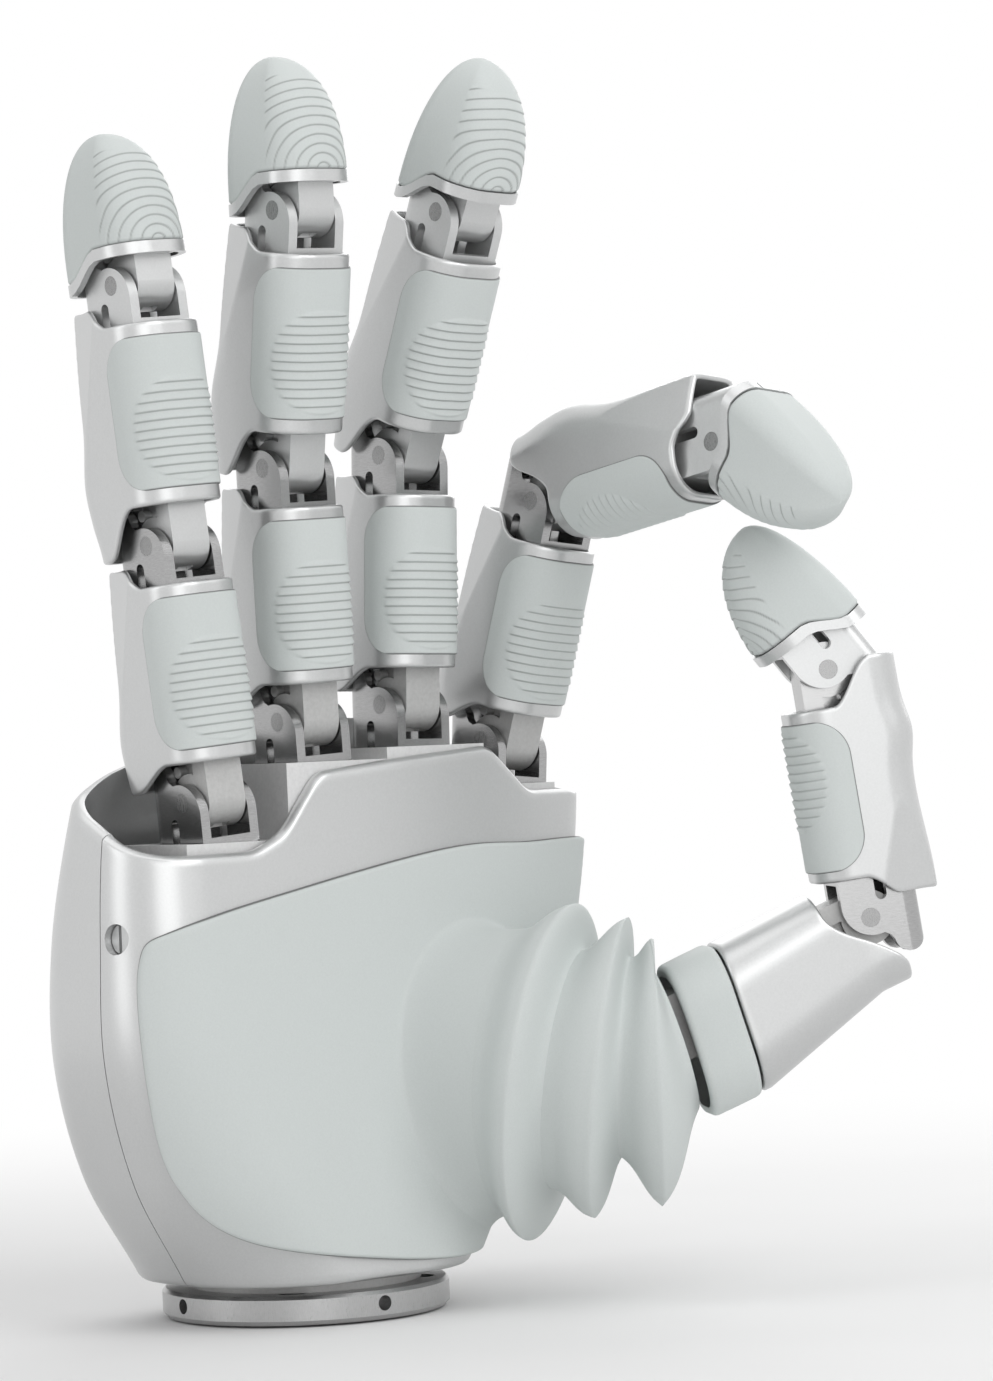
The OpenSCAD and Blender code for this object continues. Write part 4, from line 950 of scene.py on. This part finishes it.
def fold_skin(name, stations):
    """Rubber through a list of valleys and crests"""
    steps = int(10 * FINE) + 4
    rings = []
    for a, b in zip(stations[:-1], stations[1:]):
        rings += flank(a, b, steps)[0 if not rings else 1:]
    n = int(96 * FINE) + 16
    pts = [[ring_pt(g, 2 * math.pi * j / n) for j in range(n)] for g in rings]
    return skin(name, pts)


inner = fold_skin("bellows_inner_soft", [V01, C1, V12])
outer = fold_skin("bellows_outer_soft", [V12, C2, V23, C3, END])
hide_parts("bellows_inner")
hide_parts("bellows_outer")
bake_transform(inner)
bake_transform(outer)
for o in (inner, outer):
    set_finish(o, "elastomer")
print("bellows:", len(inner.data.vertices), len(outer.data.vertices), "points")

# %% [markdown]
# ## Edges of the exact metal
#
# Brackets, pins, flange, deck and screws are machined or cast, and come in exact. Real
# edges are never knife-sharp, and a small round catches a highlight. Rounding them in
# the CAD would be slow to build; a fine bevel modifier with weighted normals does the
# same here and leaves the shape alone.

# %% Bevels
def bevel_width(name):
    if name.endswith(("bracket", "knuckle", "link_b")):
        return 0.5
    return 0.35 if "flange" in name or "deck" in name else 0.22


bevelled = 0
for name, obj in frame["nodes"].items():
    if obj.hide_render or obj.type != "MESH":
        continue
    b = obj.modifiers.new("edge", "BEVEL")
    b.width = bevel_width(name) * MM
    b.segments = 3
    b.limit_method = "ANGLE"
    b.angle_limit = math.radians(32)
    b.harden_normals = True
    b.use_clamp_overlap = True
    for poly in obj.data.polygons:
        poly.use_smooth = True
    obj.modifiers.new("normals", "WEIGHTED_NORMAL").keep_sharp = True
    bevelled += 1
print("bevelled:", bevelled)

# %% [markdown]
# ## Materials
#
# No surface is one flat colour: paint, cast metal and rubber all vary a little. Image
# textures would need unwrapping and files, so every finish is procedural. Each helper
# adds a node or a few to a material.

# %% Node helpers
def new_material(name):
    """A material, its node tree and its surface shader"""
    m = bpy.data.materials.new(name)
    m.use_nodes = True
    nt = m.node_tree
    return m, nt, nt.nodes["Principled BSDF"]


def noise(nt, scale, detail=3.0, rough=0.55, stretch=None):
    coord = nt.nodes.new("ShaderNodeTexCoord")
    n = nt.nodes.new("ShaderNodeTexNoise")
    n.inputs["Scale"].default_value = scale
    n.inputs["Detail"].default_value = detail
    n.inputs["Roughness"].default_value = rough
    if stretch:
        mp = nt.nodes.new("ShaderNodeMapping")
        mp.inputs["Scale"].default_value = stretch
        nt.links.new(coord.outputs["Object"], mp.inputs["Vector"])
        nt.links.new(mp.outputs["Vector"], n.inputs["Vector"])
    else:
        nt.links.new(coord.outputs["Object"], n.inputs["Vector"])
    return n.outputs["Fac"]


def ramp(nt, fac, stops):
    r = nt.nodes.new("ShaderNodeValToRGB")
    r.color_ramp.elements[0].position, r.color_ramp.elements[0].color = stops[0]
    r.color_ramp.elements[1].position, r.color_ramp.elements[1].color = stops[-1]
    for p, c in stops[1:-1]:
        r.color_ramp.elements.new(p).color = c
    nt.links.new(fac, r.inputs["Fac"])
    return r.outputs["Color"]


def grey(v, tint=(1.0, 1.0, 1.0)):
    return (v * tint[0], v * tint[1], v * tint[2], 1.0)


def spread(nt, fac, lo, hi):
    m = nt.nodes.new("ShaderNodeMapRange")
    m.inputs["From Min"].default_value = 0.3
    m.inputs["From Max"].default_value = 0.7
    m.inputs["To Min"].default_value = lo
    m.inputs["To Max"].default_value = hi
    nt.links.new(fac, m.inputs["Value"])
    return m.outputs["Result"]


def bump(nt, fac, strength, distance, bsdf):
    b = nt.nodes.new("ShaderNodeBump")
    b.inputs["Strength"].default_value = strength
    b.inputs["Distance"].default_value = distance
    nt.links.new(fac, b.inputs["Height"])
    nt.links.new(b.outputs["Normal"], bsdf.inputs["Normal"])


print("node helpers ready")

# %% [markdown]
# ## One recipe for every finish
#
# A base colour between a dark and a light tone, roughness that follows the same noise,
# and a bump too fine to see as a shape. Rubber is also darkened along the weights that
# its rings carry: painted shade under the moulded ribs and along the seams.

# %% Finish recipe
# The last is the tone of the painted shade lines on the rubber
COAT_ROUGH, BUMP_STRENGTH, SHADE_LINE_TONE = 0.22, 0.35, 0.10


def finish_of(name, dark, light, tint, metal, rough, scale, bump_h,
              stretch=None, spec=0.5, coat=0.0, shade_lined=False):
    """Material from two tones, a tint, metalness, a roughness range and a noise"""
    m, nt, bsdf = new_material(name)
    fine = noise(nt, scale, 4.0, 0.6, stretch)
    col = ramp(nt, fine, [(0.3, grey(dark, tint)), (0.7, grey(light, tint))])
    # Painted shade: the mesh's line weights darken the colour towards a dark grey, under ribs and
    # along the rubber's edges
    if shade_lined:
        weight = nt.nodes.new("ShaderNodeAttribute")
        weight.attribute_name = "line"
        shade = nt.nodes.new("ShaderNodeMix")
        shade.data_type = "RGBA"
        shade.inputs["B"].default_value = grey(SHADE_LINE_TONE)
        nt.links.new(weight.outputs["Fac"], shade.inputs["Factor"])
        nt.links.new(col, shade.inputs["A"])
        col = shade.outputs["Result"]
    nt.links.new(col, bsdf.inputs["Base Color"])
    nt.links.new(spread(nt, fine, rough[0], rough[1]), bsdf.inputs["Roughness"])
    bsdf.inputs["Metallic"].default_value = metal
    bsdf.inputs["Specular IOR Level"].default_value = spec
    if coat:
        bsdf.inputs["Coat Weight"].default_value = coat
        bsdf.inputs["Coat Roughness"].default_value = COAT_ROUGH
    bump(nt, fine, BUMP_STRENGTH, bump_h, bsdf)
    return m


print("finish recipe ready")

# %% [markdown]
# ## The seven finishes
#
# Silver paint is a half-metal under a thin coat, rubber is rough with a faint green
# cast, polished and turned metal has noise drawn out along its machining marks, and
# cast parts are duller. Tones are judged under the lamps below.

# %% Finish list
WHITE = (1.0, 1.0, 1.0)
MATS = {
    "shell_silver": finish_of(
        "satin silver paint", 0.56, 0.60, (0.99, 1.0, 1.0), 0.7, (0.31, 0.38),
        2600, 0.00001, coat=0.15),
    "elastomer": finish_of(
        "grey elastomer", 0.625, 0.66, (0.945, 1.0, 0.985), 0.0, (0.55, 0.68),
        3200, 0.00003, spec=0.35, shade_lined=True),
    "bracket_steel": finish_of(
        "polished bracket", 0.36, 0.43, WHITE, 1.0, (0.17, 0.27), 900, 0.00001, (1, 1, 9)),
    "cast_metal": finish_of(
        "cast tongue", 0.46, 0.54, (1.0, 1.0, 0.99), 0.55, (0.42, 0.56), 1500, 0.00003),
    "deck_white": finish_of(
        "knuckle deck", 0.66, 0.74, WHITE, 0.25, (0.36, 0.48), 1300, 0.00002),
    "pin_steel": finish_of(
        "pin steel", 0.26, 0.34, WHITE, 1.0, (0.22, 0.34), 1200, 0.00001, (1, 9, 1)),
    "flange_metal": finish_of(
        "wrist flange", 0.42, 0.50, WHITE, 0.9, (0.26, 0.36), 1100, 0.00002, (9, 9, 1)),
}
print("finishes:", len(MATS))

# %% [markdown]
# ## Which piece wears what
#
# A piece's name says what it is made of, so one function hands out the finishes. Doing
# it by hand for sixty pieces would invite mistakes.

# %% Finishes on the pieces


def slot_of(name):
    """Which finish an exact piece wears, from its name"""
    if "skin" in name or "pad" in name or "cuff" in name or "bellows" in name:
        return "elastomer"
    if name == "wrist_flange":
        return "flange_metal"
    if "deck" in name:
        return "deck_white"
    if name == "joint_pins":
        return "pin_steel"
    if "shell" in name or "link_b" in name or "tip_frame" in name:
        return "shell_silver"
    if "tongue" in name or name in ("palm_chassis", "thumb_link"):
        return "cast_metal"
    return "bracket_steel"


for name, obj in frame["nodes"].items():
    obj.data.materials.clear()
    obj.data.materials.append(MATS[slot_of(name)])
    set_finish(obj, slot_of(name))
for o in bpy.context.scene.objects:
    slot = o.get("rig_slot")
    if slot and o.type == "MESH":
        o.data.materials.clear()
        o.data.materials.append(MATS[slot])

# %% [markdown]
# ## Darker pins
#
# Each joint turns on a steel pin that is packed in one piece with the metal round it.
# Its faces lie within the pin's radius of the joint's axis, so they are found by
# distance and given a second material; splitting the mesh would make new pieces.

# %% Pin faces
PIN_R, PIN_SLACK, PIN_HALF = 1.65, 0.03, 9
pivots = [(np.array(j["pos_m"]) * METRE, np.array(j["axis"], float))
          for n, j in joints.items() if n.endswith(("_mcp", "_pip", "_dip", "_ip"))]
dark_faces = 0
for name, obj in frame["nodes"].items():
    if obj.hide_render or "pins" in name:
        continue
    mw = np.array(obj.matrix_world)
    co = np.array([v.co for v in obj.data.vertices]) @ mw[:3, :3].T * METRE + mw[:3, 3] * METRE
    on_pin = np.zeros(len(co), bool)
    for where, axis in pivots:
        d = co - where
        along = d @ axis
        away = np.linalg.norm(d - np.outer(along, axis), axis=1)
        on_pin |= (away < PIN_R + PIN_SLACK) & (abs(along) < PIN_HALF)
    if on_pin.any():
        obj.data.materials.append(MATS["pin_steel"])
        for poly in obj.data.polygons:
            if all(on_pin[i] for i in poly.vertices):
                poly.material_index = 1
                dark_faces += 1
print("pin faces:", dark_faces)

# %% [markdown]
# ## Floor and white surround
#
# A studio sweep of paper hides its horizon, but blocks the view from behind. A flat
# floor that keeps the hand's shadow near it and turns into plain white further out
# meets the white surround without a horizon from any side. What the camera and the
# metal see is white; what lights the rubber is softer.

# %% Floor
FLOOR_R, FLOOR_DROP = 20, 0.0004  # metres: radius, and how far below the flange
FADE_FROM, FADE_TO = 0.08, 0.45  # metres from the hand: all floor, all white


def seen(nt):
    """1 for what the camera, a mirror or glass looks at, 0 for soft light"""
    rays = nt.nodes.new("ShaderNodeLightPath")
    total = rays.outputs["Is Camera Ray"]
    for kind in ("Is Glossy Ray", "Is Transmission Ray"):
        add = nt.nodes.new("ShaderNodeMath")
        add.operation, add.use_clamp = "ADD", True
        nt.links.new(total, add.inputs[0])
        nt.links.new(rays.outputs[kind], add.inputs[1])
        total = add.outputs[0]
    return total


m, nt, bsdf = new_material("studio floor")
n = noise(nt, 8, 2.0)
nt.links.new(ramp(nt, n, [(0.3, grey(0.82)), (0.7, grey(0.85))]), bsdf.inputs["Base Color"])
bsdf.inputs["Roughness"].default_value = 0.7
bsdf.inputs["Specular IOR Level"].default_value = 0.1
place = nt.nodes.new("ShaderNodeTexCoord")
length = nt.nodes.new("ShaderNodeVectorMath")
length.operation = "LENGTH"
nt.links.new(place.outputs["Object"], length.inputs[0])
far = nt.nodes.new("ShaderNodeMapRange")
far.interpolation_type = "SMOOTHSTEP"
far.inputs["From Min"].default_value = FADE_FROM
far.inputs["From Max"].default_value = FADE_TO
nt.links.new(length.outputs["Value"], far.inputs["Value"])
both = nt.nodes.new("ShaderNodeMath")
both.operation = "MULTIPLY"
nt.links.new(far.outputs["Result"], both.inputs[0])
nt.links.new(seen(nt), both.inputs[1])
glow = nt.nodes.new("ShaderNodeEmission")
blend_in = nt.nodes.new("ShaderNodeMixShader")
nt.links.new(both.outputs[0], blend_in.inputs["Fac"])
nt.links.new(bsdf.outputs["BSDF"], blend_in.inputs[1])
nt.links.new(glow.outputs["Emission"], blend_in.inputs[2])
nt.links.new(blend_in.outputs["Shader"], nt.nodes["Material Output"].inputs["Surface"])
mesh = bpy.data.meshes.new("floor")
ring = [(FLOOR_R * math.cos(a), FLOOR_R * math.sin(a), -FLOOR_DROP)
        for a in np.linspace(0, 2 * math.pi, 48, endpoint=False)]
mesh.from_pydata(ring, [], [tuple(range(48))])
mesh.materials.append(m)
floor = bpy.data.objects.new("floor", mesh)
bpy.context.scene.collection.objects.link(floor)
print("floor radius:", FLOOR_R, "m")

# %% [markdown]
# ## Lights
#
# Satin metal mirrors its lamps: small ones leave hot spots, large ones broad, quiet
# highlights. One is high on the right, one wide in front, a narrow one on the left, one
# overhead and one behind for the rims. The world adds a weak, even light.

# %% Lamps and world
cam_dir = Vector((-0.653, -0.757, 0)).normalized()
side = Vector((0.757, -0.653, 0)).normalized()


def area(name, where, at, size, power):
    """A rectangular lamp aimed at a point, in metres and watts"""
    d = bpy.data.lights.new(name, "AREA")
    d.shape = "RECTANGLE"
    d.size, d.size_y = size
    d.energy = power
    o = bpy.data.objects.new(name, d)
    o.location = where
    o.rotation_euler = (Vector(at) - Vector(where)).to_track_quat("-Z", "Y").to_euler()
    bpy.context.scene.collection.objects.link(o)


def around(u, w, h):
    """Place by distance towards the camera, to its right, and height"""
    p = cam_dir * u + side * w
    return (p.x, p.y, h)


# Name, place (towards the camera, right, up), height aimed at, size, power
LAMPS = [
    ("key", (0.45, 0.55, 0.62), 0.11, (0.6, 0.6), 2.7),
    ("front", (1.15, 0.22, 0.26), 0.10, (0.7, 0.9), 2.7),
    ("left", (0.35, -0.75, 0.40), 0.11, (0.35, 0.9), 1.3),
    ("top", (0.0, 0.0, 0.95), 0.10, (0.8, 0.8), 1.7),
    ("rim", (-0.55, 0.25, 0.45), 0.12, (0.8, 0.5), 1.6),
]
WORLD_SOFT, WORLD_SEEN = 0.42, 1.0
for name, place_at, aim_z, size, power in LAMPS:
    area(name, around(*place_at), (0.02, -0.02, aim_z), size, power)
world = bpy.data.worlds.new("white room")
world.use_nodes = True
bg = world.node_tree.nodes["Background"]
bg.inputs["Color"].default_value = (1.0, 1.0, 1.0, 1.0)
level = world.node_tree.nodes.new("ShaderNodeMapRange")
level.inputs["To Min"].default_value = WORLD_SOFT
level.inputs["To Max"].default_value = WORLD_SEEN
world.node_tree.links.new(seen(world.node_tree), level.inputs["Value"])
world.node_tree.links.new(level.outputs["Result"], bg.inputs["Strength"])
bpy.context.scene.world = world
print("lamps:", len(LAMPS))

# %% [markdown]
# ## Camera
#
# A long lens, 0.8 m away, looking almost level at the hand's three-quarter front. A
# short lens from nearby would swell the thumb; a long one keeps the proportions. The
# small roll lets the hand lean a little in the frame.

# %% Camera
cam = bpy.data.cameras.new("camera")
cam.sensor_fit = "VERTICAL"
cam.sensor_height, cam.lens = 36, 122.6
camera = bpy.data.objects.new("camera", cam)
right = Vector((0.757, -0.653, 0.0)).normalized()
back = Vector((-0.653, -0.757, -0.009)).normalized()
up = back.cross(right).normalized()
roll = math.radians(-2.35)
EYE = (-0.50768, -0.64585, 0.0988)
r2 = right * math.cos(roll) + up * math.sin(roll)
u2 = -right * math.sin(roll) + up * math.cos(roll)
camera.matrix_world = Matrix((
    (r2.x, u2.x, back.x, EYE[0]), (r2.y, u2.y, back.y, EYE[1]),
    (r2.z, u2.z, back.z, EYE[2]), (0, 0, 0, 1)))
bpy.context.scene.collection.objects.link(camera)
bpy.context.scene.camera = camera
scene = bpy.context.scene
scene.view_settings.view_transform = "Standard"
scene.view_settings.exposure = 0.0
print("camera at", [round(v, 3) for v in camera.location])
